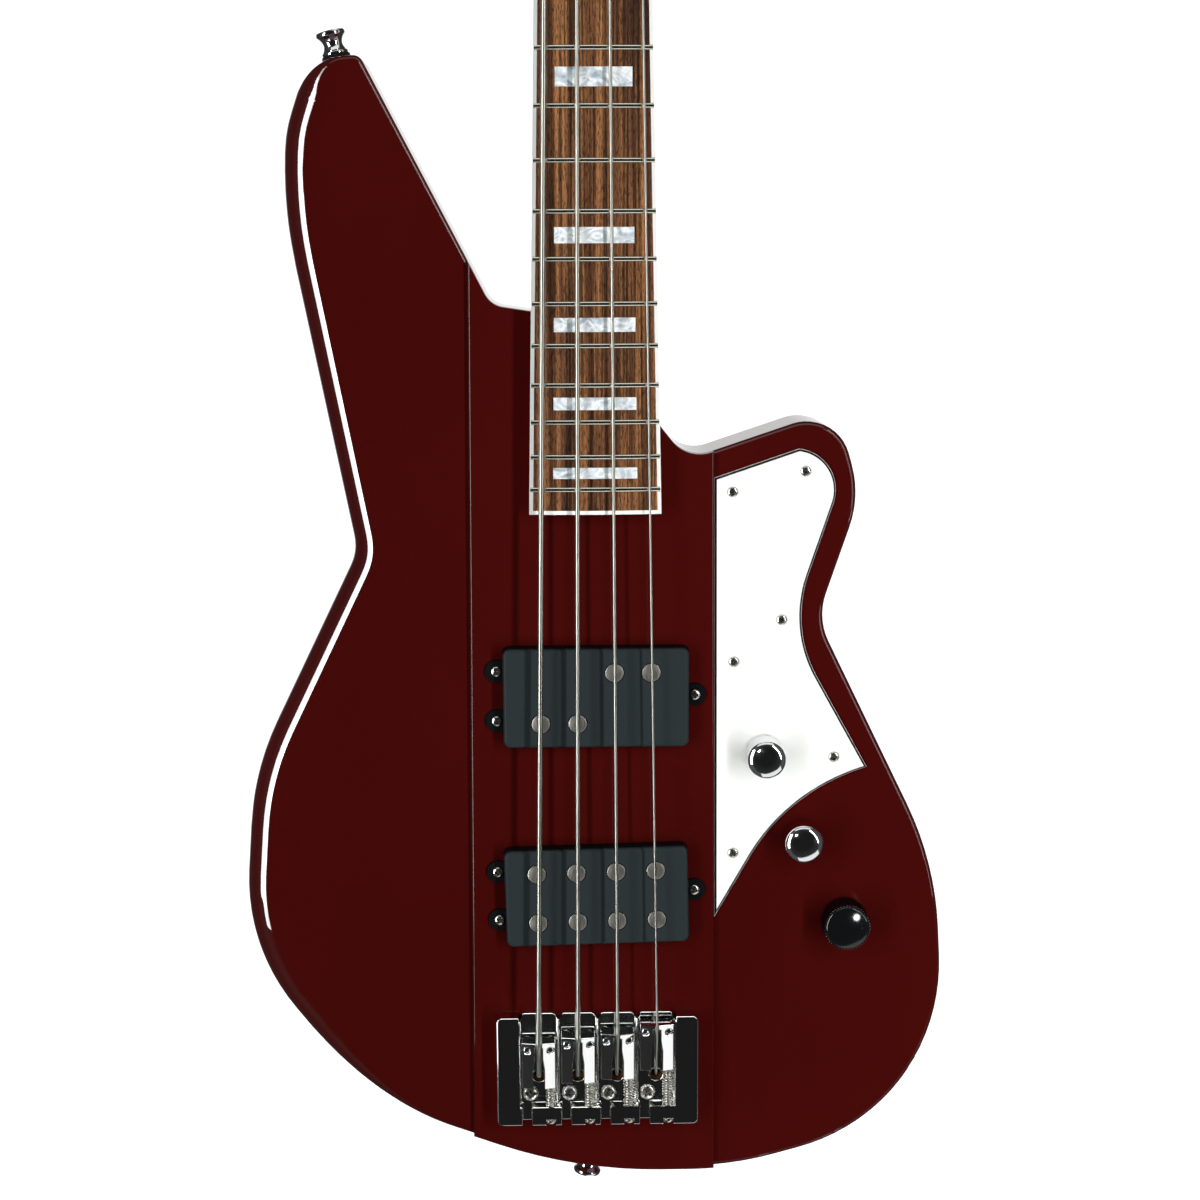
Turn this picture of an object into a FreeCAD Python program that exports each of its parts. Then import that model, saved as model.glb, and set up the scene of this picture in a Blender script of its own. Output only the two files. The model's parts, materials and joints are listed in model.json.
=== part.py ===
import FreeCAD, Part
import math
import operator
import os
from types import SimpleNamespace
from FreeCAD import Placement, Rotation, Vector

# Electric bass guitar, lying on its back: +Z out of the front, +Y along the neck to the headstock,
# +X to the treble side. The origin is on the flat back, under the end of the scale at the bridge.

STRINGS = ("e", "a", "d", "g")
KNOBS = ("volume", "tone", "contour")
INLAID_FRETS = (3, 5, 7, 9, 12, 15, 17, 19, 21)
SKIRT_TEETH = 48
UP = Vector(0, 0, 1)
DOWN = Vector(0, 0, -1)

# Driving dimensions in millimetres, with angles in degrees. Heights named "above" count from the ridge.
SIZES = {
    "scale_length": 863.6,
    "fret_count": 21,
    "nut_width": 40.5,
    "nut_thickness": 4.5,
    "nut_height": 9.2,
    "board_overhang": 11.8,
    "board_end_width": 62.0,
    "board_thickness": 6.0,
    "board_radius": 305.0,
    "board_above": 11.7,
    "binding_width": 1.8,
    "fret_width": 2.6,
    "fret_height": 1.3,
    "fret_inset": 0.5,
    "tang_width": 0.5,
    "tang_depth": 1.4,
    "tang_slot_depth": 3.4,
    "inlay_width_ratio": 0.64,
    "inlay_length_ratio": 0.34,
    "inlay_depth": 1.6,
    "neck_depth_nut": 15.0,
    "neck_depth_heel": 17.0,
    "heel_end": 247.0,
    "heel_front": 362.0,
    "heel_round": 8.0,
    "heel_blend": 5.0,
    "pocket_run_out": 40.0,
    "pocket_depth": 16.0,
    "truss_rod_radius": 3.0,
    "truss_rod_inset": 15.0,
    "truss_rod_before_nut": 17.6,
    "neck_bolt_x": 17.0,
    "neck_bolt_inset": 12.0,
    "neck_bolt_pitch": 28.0,
    "neck_bolt_radius": 2.4,
    "neck_bolt_bite": 14.0,
    "neck_ferrule_radius": 7.0,
    "neck_ferrule_height": 5.0,
    "neck_ferrule_wall": 2.0,
    "head_thickness": 15.0,
    "head_drop": 11.7,
    "head_scoop": 40.0,
    "head_edge_round": 1.5,
    "volute_before_nut": 21.6,
    "volute_beyond_nut": 22.4,
    "volute_flare": 2.0,
    "wing_thickness": 42.0,
    "ridge_rise": 3.0,
    "ridge_round": 1.2,
    "ridge_inset": 0.15,
    "ridge_bass_top": -58.6,
    "ridge_bass_bottom": -61.8,
    "ridge_treble_top": 56.0,
    "ridge_treble_bottom": 58.2,
    "ridge_line_top": 380.0,
    "ridge_line_bottom": -120.0,
    "edge_round": 3.0,
    "bass_edge_round": 14.0,
    "horn_blend": 4.0,
    "guard_thickness": 2.4,
    "guard_bevel": 1.4,
    "pickup_width": 89.0,
    "pickup_length": 48.4,
    "pickup_corner": 3.5,
    "pickup_edge_round": 2.0,
    "pickup_wall": 1.6,
    "pickup_above": 8.0,
    "pickup_cover_height": 16.0,
    "pickup_rout_depth": 20.0,
    "pickup_foam_height": 5.7,
    "pickup_ear_out": 3.1,
    "pickup_ear_radius": 5.4,
    "pickup_ear_spread": 24.2,
    "pickup_ear_thickness": 2.5,
    "pickup_ear_above": 1.0,
    "pickup_screw_length": 30.0,
    "neck_pickup_y": 156.2,
    "bridge_pickup_y": 57.9,
    "bridge_pickup_slant": 1.3,
    "pole_radius": 4.75,
    "pole_row_spread": 24.6,
    "pole_above_cover": 0.3,
    "neck_pole_margin": 18.1,
    "bridge_pole_margin": 15.7,
    "coil_length": 20.0,
    "bridge_rear": -58.0,
    "bridge_length": 55.4,
    "bridge_width": 99.0,
    "bridge_height": 10.0,
    "bridge_corner": 3.0,
    "bridge_side_round": 1.0,
    "bridge_floor": 3.0,
    "bridge_rear_wall": 9.4,
    "bay_width": 18.2,
    "bay_wall_height": 3.4,
    "bay_chamfer": 2.4,
    "bay_notch_x": -5.8,
    "bay_notch_width": 4.6,
    "bridge_screw_x": -4.2,
    "bridge_screw_from_rear": 14.2,
    "string_hole_from_rear": 23.0,
    "string_hole_radius": 2.2,
    "bridge_string_hole_radius": 3.2,
    "saddle_width": 16.4,
    "saddle_length": 24.2,
    "saddle_lift": 2.5,
    "saddle_fall": 2.2,
    "saddle_roof_drop": 2.0,
    "saddle_front_wall": 2.2,
    "saddle_slot_front": 3.8,
    "saddle_slot_rear": 5.6,
    "spring_room_e": 10.6,
    "spring_room_a": 13.6,
    "spring_room_d": 15.2,
    "spring_room_g": 19.0,
    "height_screw_x": 5.8,
    "height_screw_back": 3.7,
    "height_screw_radius": 1.75,
    "intonation_x": 5.8,
    "intonation_above_floor": 5.2,
    "intonation_screw_radius": 1.3,
    "intonation_head_radius": 2.7,
    "intonation_head_height": 2.6,
    "intonation_bite": 13.0,
    "spring_radius": 2.1,
    "spring_wire": 0.75,
    "spring_pitch": 1.6,
    "string_diameter_e": 2.67,
    "string_diameter_a": 2.16,
    "string_diameter_d": 1.65,
    "string_diameter_g": 1.14,
    "string_spread_nut": 34.0,
    "string_spread_bridge": 57.8,
    "string_above_nut_board": 1.7,
    "string_above_bridge": 16.0,
    "string_bend_floor": 8.0,
    "string_bend_saddle": 3.0,
    "string_bend_nut": 12.0,
    "string_bend_post": 25.0,
    "string_lead_in": 12.0,
    "string_rise": 1.0,
    "ball_radius": 3.1,
    "ball_length": 5.0,
    "string_ferrule_radius": 4.6,
    "string_ferrule_length": 10.0,
    "string_ferrule_bore": 3.4,
    "string_ferrule_floor": 2.0,
    "volume_x": 81.4,
    "volume_y": 126.5,
    "tone_x": 100.1,
    "tone_y": 83.8,
    "contour_x": 121.5,
    "contour_y": 42.0,
    "dome_knob_radius": 9.3,
    "contour_knob_radius": 11.4,
    "knob_height": 16.0,
    "knob_gap": 0.8,
    "knob_recess_radius": 7.7,
    "knob_recess_height": 5.4,
    "knob_top_wall": 4.0,
    "dome_shoulder": 3.0,
    "dome_radius": 23.0,
    "cap_shoulder": 1.6,
    "cap_radius": 34.0,
    "skirt_tooth": 0.6,
    "pot_radius": 12.0,
    "pot_height": 9.0,
    "pot_floor": 2.0,
    "pot_bushing_radius": 4.6,
    "pot_bushing_above": 4.0,
    "pot_nut_width": 12.6,
    "pot_nut_height": 2.2,
    "pot_shaft_radius": 3.17,
    "cavity_roof": 6.0,
    "cover_thickness": 2.3,
    "cover_lip": 7.0,
    "cover_screw_sunk": 0.1,
    "button_radius": 6.9,
    "button_waist": 4.4,
    "button_length": 11.0,
    "button_foot_radius": 6.2,
    "button_foot_height": 1.5,
    "button_rim_height": 2.4,
    "button_chamfer": 0.9,
    "button_sink": 2.4,
    "button_felt": 2.6,
    "button_screw_radius": 2.4,
    "button_screw_head": 4.2,
    "button_screw_head_height": 2.0,
    "button_screw_length": 32.0,
    "horn_button_aim_x": 4.0,
    "tail_button_aim_x": -9.5,
    "button_aim_reach": 40.0,
    "side_height": 21.0,
    "jack_aim_x": 200.0,
    "jack_aim_y": -43.0,
    "jack_bore": 3.2,
    "jack_cup_radius": 12.0,
    "jack_cup_depth": 9.0,
    "jack_cup_lip": 2.0,
    "jack_cup_floor": 1.8,
    "jack_nose_radius": 4.7,
    "jack_nose_length": 4.4,
    "jack_bore_spare": 6.0,
    "jack_barrel_radius": 7.0,
    "jack_length": 30.0,
    "wood_screw_radius": 1.3,
    "wood_screw_length": 11.0,
    "wood_screw_head": 2.6,
    "wood_screw_head_height": 1.5,
    "bridge_screw_head": 3.8,
    "bridge_screw_head_height": 2.2,
    "bridge_screw_length": 24.0,
    "tuner_first_x": -24.6,
    "tuner_first_beyond_nut": 44.4,
    "tuner_pitch": 43.0,
    "tuner_line_angle": 15.4,
    "tuner_post_radius": 5.5,
    "tuner_post_height": 21.0,
    "tuner_slot_width": 4.0,
    "tuner_slot_depth": 13.0,
    "post_lip": 0.8,
    "post_bevel": 1.2,
    "post_cap_height": 4.0,
    "post_hole_radius": 1.6,
    "post_hole_depth": 6.0,
    "tuner_bushing_radius": 8.7,
    "tuner_flange_radius": 10.4,
    "tuner_flange_height": 2.6,
    "tuner_housing_length": 30.0,
    "tuner_housing_width": 24.0,
    "tuner_housing_height": 14.0,
    "tuner_housing_corner": 5.0,
    "tuner_housing_shift": 3.0,
    "tuner_housing_round": 2.0,
    "tuner_housing_floor": 3.0,
    "tuner_screw_flange": 3.0,
    "tuner_boss_radius": 5.2,
    "tuner_key_seat": 3.0,
    "tuner_worm_offset": 9.0,
    "tuner_shaft_radius": 3.0,
    "tuner_boss_length": 5.0,
    "tuner_key_start": 21.5,
    "tuner_key_length": 24.0,
    "tuner_key_width": 25.0,
    "tuner_key_thickness": 7.0,
    "key_neck_width": 5.0,
    "key_neck_corner": 1.0,
    "key_shoulder": 3.0,
    "key_inner_corner": 7.0,
    "key_outer_corner": 9.0,
    "key_edge_round": 2.0,
    "winding_gap": 0.55,
    "press_gap": 0.02,
    "fit_gap": 0.05,
    "part_gap": 0.2,
    "free_gap": 0.3,
}

# Corners of the body's outline: x, y and corner radius, from the bass cutaway round to the neck again.
BODY_CORNERS = {
    "cutaway_bass": (-48, 342, 11),
    "horn_inner": (-107, 456, 5),
    "horn_tip": (-132, 454, 26),
    "horn_shoulder": (-143, 422, 69),
    "horn_side": (-145, 386, 217),
    "waist_bass": (-114, 225, 23),
    "bout_bass": (-167, 117, 143),
    "hip_bass": (-174, 27, 104),
    "base_bass": (-116, -48, 163),
    "tail_bass": (-10, -87, 238),
    "tail_treble": (68, -87, 164),
    "base_treble": (148, -65, 93),
    "hip_treble": (171, 1, 103),
    "bout_treble": (167, 69, 168),
    "waist_treble": (107, 192, 31),
    "horn_treble_side": (127, 251, 51),
    "horn_treble_top": (117, 285, 21),
    "horn_treble_inner": (98, 287, 19),
    "cutaway_treble": (44, 269, 17),
    "neck_joint_treble": (24, 294, 20),
    "neck_joint_bass": (-22, 338, 5),
}

# Corners of the pickguard that lie off the ridge, from its top edge round to its lower edge.
GUARD_CORNERS = {
    "guard_top": (97, 274, 4),
    "guard_shoulder": (120.8, 269.4, 20),
    "guard_waist": (93.3, 188, 62),
    "guard_tip": (131.5, 119, 0),
    "guard_hollow": (93, 106.3, 95),
}
GUARD_INNER_TOP = 260.4
GUARD_INNER_FOOT = 44.0

# Corners of the control cavity, routed from the back.
CAVITY_CORNERS = {
    "cavity_top_inner": (66, 142, 9),
    "cavity_top": (97, 142, 9),
    "cavity_side": (140, 44, 12),
    "cavity_jack_side": (140, -14, 9),
    "cavity_jack": (118, -14, 9),
    "cavity_bend": (98, 30, 12),
    "cavity_inner": (66, 104, 9),
}

# Corners of the headstock, from the treble side of the nut round to its bass side; y counts from the nut.
HEAD_CORNERS = {
    "head_nut_treble": (20.2, -13.6, 0.5),
    "head_waist": (25, 29.4, 40),
    "head_treble": (40, 146.4, 150),
    "head_tip_treble": (43, 208.4, 22),
    "head_tip_bass": (6, 212.4, 16),
    "head_bass": (-45, 29.4, 14),
    "head_throat": (-20.2, 4.4, 12),
    "head_nut_bass": (-20.2, -13.6, 0.5),
}

# Places of the pickguard's screws.
GUARD_SCREWS = {
    "guard_screw_top_inner": (65.4, 253.8),
    "guard_screw_top": (100.0, 263.4),
    "guard_screw_waist": (89.3, 192.1),
    "guard_screw_middle": (66.5, 171.8),
    "guard_screw_tip": (115.3, 124.5),
    "guard_screw_foot": (66.6, 76.9),
}

doc = FreeCAD.newDocument("bass_guitar")
sheet = doc.addObject("Spreadsheet::Sheet", "Sizes")
NODES = []


def read_corner_sizes():
    """Gives every corner and screw place its own named sizes."""
    for corners in (BODY_CORNERS, GUARD_CORNERS, CAVITY_CORNERS, HEAD_CORNERS, GUARD_SCREWS):
        for name, numbers in corners.items():
            for ending, number in zip(("x", "y", "radius"), numbers):
                SIZES[f"{name}_{ending}"] = number
    SIZES["guard_inner_top"] = GUARD_INNER_TOP
    SIZES["guard_inner_foot"] = GUARD_INNER_FOOT


OPERATIONS = {"+": operator.add, "-": operator.sub, "*": operator.mul, "/": operator.truediv}


class Size:
    """A number together with the sheet formula that gives it."""

    def __init__(self, value, formula):
        self.value = value
        self.formula = formula

    def __float__(self):
        return float(self.value)

    def __add__(self, other):
        return combine(self, "+", other)

    def __radd__(self, other):
        return combine(other, "+", self)

    def __sub__(self, other):
        return combine(self, "-", other)

    def __rsub__(self, other):
        return combine(other, "-", self)

    def __mul__(self, other):
        return combine(self, "*", other)

    def __rmul__(self, other):
        return combine(other, "*", self)

    def __truediv__(self, other):
        return combine(self, "/", other)

    def __neg__(self):
        return combine(0, "-", self)


def as_size(number):
    return number if isinstance(number, Size) else Size(number, f"{float(number):.6f}")


def combine(left, sign, right):
    left, right = as_size(left), as_size(right)
    value = OPERATIONS[sign](left.value, right.value)
    return Size(value, f"({left.formula} {sign} {right.formula})")


read_corner_sizes()
for row, (name, number) in enumerate(SIZES.items(), 1):
    sheet.set(f"A{row}", name)
    sheet.set(f"B{row}", str(number))
    sheet.setAlias(f"B{row}", name)
doc.recompute()
dim = SimpleNamespace(**{name: Size(number, f"Sizes.{name}") for name, number in SIZES.items()})


def corner_list(corners):
    return [tuple(getattr(dim, f"{name}_{ending}") for ending in ("x", "y", "radius")) for name in corners]


# Levels that several pieces share.
ridge_top = dim.wing_thickness + dim.ridge_rise
board_top = ridge_top + dim.board_above
board_bottom = board_top - dim.board_thickness
pocket_floor = ridge_top - dim.pocket_depth
head_top = board_top - dim.head_drop
head_bottom = head_top - dim.head_thickness
bridge_floor_top = ridge_top + dim.bridge_floor
bridge_front = dim.bridge_rear + dim.bridge_length
bridge_wall_front = dim.bridge_rear + dim.bridge_rear_wall
string_hole_y = dim.bridge_rear + dim.string_hole_from_rear
board_end = dim.scale_length / 2 ** (SIZES["fret_count"] / 12) - dim.board_overhang
volute_start = dim.scale_length - dim.volute_before_nut
volute_end = dim.scale_length + dim.volute_beyond_nut
truss_rod_start = dim.heel_end + dim.truss_rod_inset
truss_rod_length = dim.scale_length - dim.truss_rod_before_nut - truss_rod_start
cavity_top = dim.wing_thickness - dim.cavity_roof
guard_top = dim.wing_thickness + dim.guard_thickness


def bind(thing, **formulas):
    for name, number in formulas.items():
        thing.setExpression(name, as_size(number).formula)


def place(thing, base, turn=Rotation()):
    thing.Placement = Placement(Vector(*(float(number) for number in base)), turn)
    for letter, number in zip("xyz", base):
        thing.setExpression(f"Placement.Base.{letter}", as_size(number).formula)
    return thing


def towards(direction):
    return Rotation(UP, direction)


def box(low, lengths):
    solid = doc.addObject("Part::Box", "block")
    bind(solid, Length=lengths[0], Width=lengths[1], Height=lengths[2])
    return place(solid, low)


def cylinder(base, radius, height, direction=UP):
    solid = doc.addObject("Part::Cylinder", "round")
    bind(solid, Radius=radius, Height=height)
    return place(solid, base, towards(direction))


def cone(base, low_radius, high_radius, height, direction=UP):
    solid = doc.addObject("Part::Cone", "taper")
    bind(solid, Radius1=low_radius, Radius2=high_radius, Height=height)
    return place(solid, base, towards(direction))


def fuse(*solids):
    joined = doc.addObject("Part::MultiFuse", "joined")
    joined.Shapes = list(solids)
    return joined


def cut(solid, *tools):
    result = doc.addObject("Part::Cut", "cut")
    result.Base = solid
    result.Tool = tools[0] if len(tools) == 1 else fuse(*tools)
    return result


def common(first, second):
    result = doc.addObject("Part::Common", "shared")
    result.Base = first
    result.Tool = second
    return result


def group(*solids):
    result = doc.addObject("Part::Compound", "set")
    result.Links = list(solids)
    return result


def formed(shape):
    """Holds a shape that no primitive or sketch gives."""
    result = doc.addObject("Part::Feature", "formed")
    result.Shape = shape
    return result


def node(name, thing):
    thing.Label = name
    NODES.append(thing)
    return thing


def outline_edges(corners):
    """Lines and tangent corner arcs of a closed outline; a radius shrinks to what its sides can hold."""
    points = [Vector(float(x), float(y), 0) for x, y, _ in corners]
    count = len(points)
    arms = []
    for index, point in enumerate(points):
        back = (points[index - 1] - point).normalize()
        ahead = (points[(index + 1) % count] - point).normalize()
        arms.append((back, ahead, back.getAngle(ahead) / 2))
    reach = [float(corners[i][2]) / math.tan(arms[i][2]) for i in range(count)]
    scale = [1.0] * count
    for index in range(count):
        after = (index + 1) % count
        room = (points[after] - points[index]).Length
        share = min(1.0, room / max(reach[index] + reach[after], 1e-9))
        scale[index] = min(scale[index], share)
        scale[after] = min(scale[after], share)
    arcs, ends = [], []
    for index, point in enumerate(points):
        back, ahead, half = arms[index]
        step = reach[index] * scale[index]
        radius = step * math.tan(half)
        middle = point + (back + ahead).normalize() * (radius / math.sin(half) - radius)
        ends.append((point + back * step, point + ahead * step))
        arcs.append(Part.Arc(ends[-1][0], middle, ends[-1][1]) if radius > 0.01 else None)
    edges = []
    for index, arc in enumerate(arcs):
        if arc:
            edges.append(arc)
        start, end = ends[index][1], ends[(index + 1) % count][0]
        if (end - start).Length > 0.01:
            edges.append(Part.LineSegment(start, end))
    return edges


def polygon_edges(points):
    places = [Vector(float(x), float(y), 0) for x, y in points]
    return [Part.LineSegment(a, b) for a, b in zip(places, places[1:] + places[:1])]


def sketch(edges, base=(0, 0, 0), turn=Rotation()):
    drawing = doc.addObject("Sketcher::SketchObject", "outline")
    for edge in edges:
        drawing.addGeometry(edge, False)
    return place(drawing, base, turn)


def prism(edges, bottom, height):
    """An outline raised along Z."""
    solid = doc.addObject("Part::Extrusion", "prism")
    solid.Base = sketch(edges, (0, 0, bottom))
    solid.DirMode = "Custom"
    solid.Dir = UP
    solid.Solid = True
    bind(solid, LengthFwd=height)
    return solid


def prism_along(edges, base, height, turn):
    """An outline drawn in a turned plane and raised square to it."""
    solid = doc.addObject("Part::Extrusion", "prism")
    solid.Base = sketch(edges, base, turn)
    solid.DirMode = "Custom"
    solid.Dir = turn.multVec(UP)
    solid.Solid = True
    bind(solid, LengthFwd=height)
    return solid


SIDE_VIEW = Rotation(Vector(0, 1, 0), UP, Vector(1, 0, 0), "XYZ")
FRONT_VIEW = Rotation(Vector(-1, 0, 0), UP, Vector(0, 1, 0), "XYZ")
HALF_SECTION = Rotation(Vector(1, 0, 0), 90)


def turned(edges, base, direction=UP):
    """A half section, radius across and height up, turned about its axis."""
    solid = doc.addObject("Part::Revolution", "turned")
    solid.Source = sketch(edges, (0, 0, 0), HALF_SECTION)
    solid.Axis = UP
    solid.Base = Vector(0, 0, 0)
    solid.Angle = 360
    solid.Solid = True
    return place(solid, base, towards(direction))


def rounded_rectangle(half_x, half_y, radius, centre_x=0, centre_y=0):
    signs = ((1, 1), (-1, 1), (-1, -1), (1, -1))
    corners = [(centre_x + sx * half_x, centre_y + sy * half_y, radius) for sx, sy in signs]
    return outline_edges(corners)


def top_edges(thing, level, radius_at, y_limit=None):
    """The edges of a shape at one level, below y_limit, each with its fillet radius at both ends."""
    chosen = []
    for number, edge in enumerate(thing.Shape.Edges, 1):
        middle = edge.CenterOfMass
        heights = [vertex.Z for vertex in edge.Vertexes] + [middle.z]
        near = y_limit is None or middle.y < float(y_limit)
        if near and all(abs(height - float(level)) < 1e-4 for height in heights):
            first, last = edge.Vertexes[0].Point, edge.Vertexes[-1].Point
            chosen.append((number, float(radius_at(first)), float(radius_at(last))))
    return chosen


def fillet(thing, *edge_lists):
    result = doc.addObject("Part::Fillet", "eased")
    result.Base = thing
    result.Edges = [edge for edges in edge_lists for edge in edges]
    return result


def screw(base, head_radius, head_height, radius, length, direction=DOWN):
    """A headed screw: base is under the head, and the shank runs along direction."""
    back = direction * -1
    crown_ratio = 0.7
    head = cone(base, head_radius, head_radius * crown_ratio, head_height, back)
    return fuse(head, cylinder(base, radius, length, direction))


def string_x(index, spread):
    return spread * (index / (len(STRINGS) - 1) - 0.5)


def board_half(y):
    """Half the fingerboard's width at a distance from the bridge."""
    run = (dim.scale_length - y) / (dim.scale_length - board_end)
    return (dim.nut_width + (dim.board_end_width - dim.nut_width) * run) / 2


def fret_y(number):
    return float(dim.scale_length) / 2 ** (number / 12)


def crown_drop(x):
    return float(x) ** 2 / (2 * float(dim.board_radius))


def board_outline(start, inset, end=None):
    """The tapered outline of the fingerboard, drawn in from its edges."""
    end = dim.scale_length if end is None else end
    near, far = board_half(start) - inset, board_half(end) - inset
    return polygon_edges([(-near, start), (near, start), (far, end), (-far, end)])


def crowned(solid):
    """Gives a piece of the fingerboard its cross curve."""
    axis_height = board_top - dim.board_radius
    start = board_end - dim.free_gap
    run = dim.scale_length - start + dim.free_gap
    return common(solid, cylinder((0, start, axis_height), dim.board_radius, run, Vector(0, 1, 0)))


def rim_point(edges, aim_x, aim_y):
    """The point of an outline that is nearest to a point outside it, and the way out there."""
    aim = Vector(float(aim_x), float(aim_y), 0)
    wire = Part.Wire([edge.toShape() for edge in edges])
    point = wire.distToShape(Part.Vertex(aim))[1][0][0]
    return point, (aim - point).normalize()


def guard_edges():
    """The pickguard's outline: its straight edge runs beside the ridge."""
    inner_top = (ridge_treble(dim.guard_inner_top) + dim.part_gap, dim.guard_inner_top, 0)
    inner_foot = (ridge_treble(dim.guard_inner_foot) + dim.part_gap, dim.guard_inner_foot, 0)
    return outline_edges([inner_top] + corner_list(GUARD_CORNERS) + [inner_foot])


def ridge_line(top, bottom, y):
    run = (dim.ridge_line_top - y) / (dim.ridge_line_top - dim.ridge_line_bottom)
    return top + (bottom - top) * run


def ridge_treble(y):
    return ridge_line(dim.ridge_treble_top, dim.ridge_treble_bottom, y)


# Pickups: each has a rout in the body, foam, coils, pole pieces, a cover with ears, and screws.
neck_pole_spread = dim.pickup_width - dim.neck_pole_margin * 2
bridge_pole_spread = dim.pickup_width - dim.bridge_pole_margin * 2
NECK_POLES = [(string_x(i, neck_pole_spread), dim.pole_row_spread * row)
              for i, row in enumerate((-0.5, -0.5, 0.5, 0.5))]
BRIDGE_POLES = [(string_x(i, bridge_pole_spread), dim.pole_row_spread * row)
                for row in (-0.5, 0.5) for i in range(len(STRINGS))]
ear_x = dim.pickup_width / 2 + dim.pickup_ear_out
EARS = [(-ear_x, dim.pickup_ear_spread / 2), (-ear_x, -dim.pickup_ear_spread / 2), (ear_x, as_size(0))]
PICKUPS = {
    "neck": (dim.neck_pickup_y, as_size(0), NECK_POLES),
    "bridge": (dim.bridge_pickup_y, dim.bridge_pickup_slant, BRIDGE_POLES),
}
rout_floor = ridge_top - dim.pickup_rout_depth
cover_top = ridge_top + dim.pickup_above
cover_bottom = cover_top - dim.pickup_cover_height
ear_top = ridge_top + dim.pickup_ear_above
ear_bottom = ear_top - dim.pickup_ear_thickness
pickup_screw_seat = ear_top


def set_in_place(thing, centre_y, slant):
    """Moves a pickup piece, drawn about the origin, to its place on the body."""
    place(thing, (0, centre_y, 0), Rotation(UP, float(slant)))
    return thing


def pickup_rout(centre_y, slant):
    half_x = dim.pickup_width / 2 + dim.part_gap
    half_y = dim.pickup_length / 2 + dim.part_gap
    depth = dim.pickup_rout_depth + dim.ridge_rise
    hole = prism(rounded_rectangle(half_x, half_y, dim.pickup_corner), rout_floor, depth)
    ears = [cylinder((x, y, rout_floor), dim.pickup_ear_radius + dim.part_gap, depth) for x, y in EARS]
    bite = dim.pickup_screw_length
    pilots = [cylinder((x, y, pickup_screw_seat - bite), dim.wood_screw_radius + dim.fit_gap, bite)
              for x, y in EARS]
    return set_in_place(fuse(hole, *ears, *pilots), centre_y, slant)


def build_pickup(name, centre_y, slant, poles):
    half_x, half_y = dim.pickup_width / 2, dim.pickup_length / 2
    wall = dim.pickup_wall
    block = prism(rounded_rectangle(half_x, half_y, dim.pickup_corner), cover_bottom, dim.pickup_cover_height)
    doc.recompute()
    eased = fillet(block, top_edges(block, cover_top, lambda point: dim.pickup_edge_round))
    ears = [cylinder((x, y, ear_bottom), dim.pickup_ear_radius, dim.pickup_ear_thickness) for x, y in EARS]
    inner = prism(rounded_rectangle(half_x - wall, half_y - wall, dim.pickup_corner - wall),
                  cover_bottom - wall, dim.pickup_cover_height)
    pole_low = rout_floor + dim.pickup_foam_height + dim.free_gap
    pole_height = cover_top + dim.pole_above_cover - pole_low
    holes = [cylinder((x, y, pole_low), dim.pole_radius + dim.fit_gap, pole_height) for x, y in poles]
    screw_holes = [cylinder((x, y, ear_bottom - wall), dim.wood_screw_radius + dim.fit_gap,
                            dim.pickup_ear_thickness + 2 * wall) for x, y in EARS]
    cover = cut(fuse(eased, *ears), inner, *holes, *screw_holes)
    node(f"{name}_pickup_cover", set_in_place(cover, centre_y, slant))
    pins = [cylinder((x, y, pole_low), dim.pole_radius, pole_height) for x, y in poles]
    node(f"{name}_pickup_poles", set_in_place(group(*pins), centre_y, slant))
    coils = []
    for row in (-0.5, 0.5):
        in_row = [(x, y) for x, y in poles if float(y) * row > 0]
        ends = [float(x) for x, _ in in_row]
        half = (max(ends) - min(ends)) / 2 + float(dim.coil_length) / 2
        middle = (max(ends) + min(ends)) / 2
        edges = rounded_rectangle(half, dim.coil_length / 2, dim.coil_length / 2 - dim.fit_gap,
                                  middle, dim.pole_row_spread * row)
        height = cover_top - wall - dim.free_gap - pole_low
        bores = [cylinder((x, y, pole_low), dim.pole_radius + dim.fit_gap, height) for x, y in in_row]
        coils.append(cut(prism(edges, pole_low, height), *bores))
    node(f"{name}_pickup_coils", set_in_place(group(*coils), centre_y, slant))
    pad = prism(rounded_rectangle(half_x - wall, half_y - wall, dim.pickup_corner - wall),
                rout_floor, dim.pickup_foam_height)
    screws = [screw((x, y, pickup_screw_seat), dim.wood_screw_head, dim.wood_screw_head_height,
                    dim.wood_screw_radius, dim.pickup_screw_length - dim.free_gap) for x, y in EARS]
    return set_in_place(pad, centre_y, slant), set_in_place(group(*screws), centre_y, slant)


# The body: two wings in one slab with eased edges, and the raised ridge down the middle.
body_edges = outline_edges(corner_list(BODY_CORNERS))
HORN_POINT, HORN_OUT = rim_point(body_edges, dim.horn_tip_x + dim.horn_button_aim_x,
                                 dim.horn_tip_y + dim.button_aim_reach)
TAIL_POINT, TAIL_OUT = rim_point(body_edges, dim.tail_button_aim_x, dim.tail_bass_y - dim.button_aim_reach)
JACK_POINT, JACK_OUT = rim_point(body_edges, dim.jack_aim_x, dim.jack_aim_y)
BUTTONS = [(HORN_POINT, HORN_OUT), (TAIL_POINT, TAIL_OUT)]


def at_side(point, out, distance):
    """A place on the body's side wall, moved out along the wall's own direction."""
    place_there = point + out * float(distance)
    return (place_there.x, place_there.y, dim.side_height)


def neck_bolt_places():
    first = dim.heel_end + dim.neck_bolt_inset
    return [(dim.neck_bolt_x * side, first + dim.neck_bolt_pitch * row) for row in (0, 1) for side in (-1, 1)]


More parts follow.
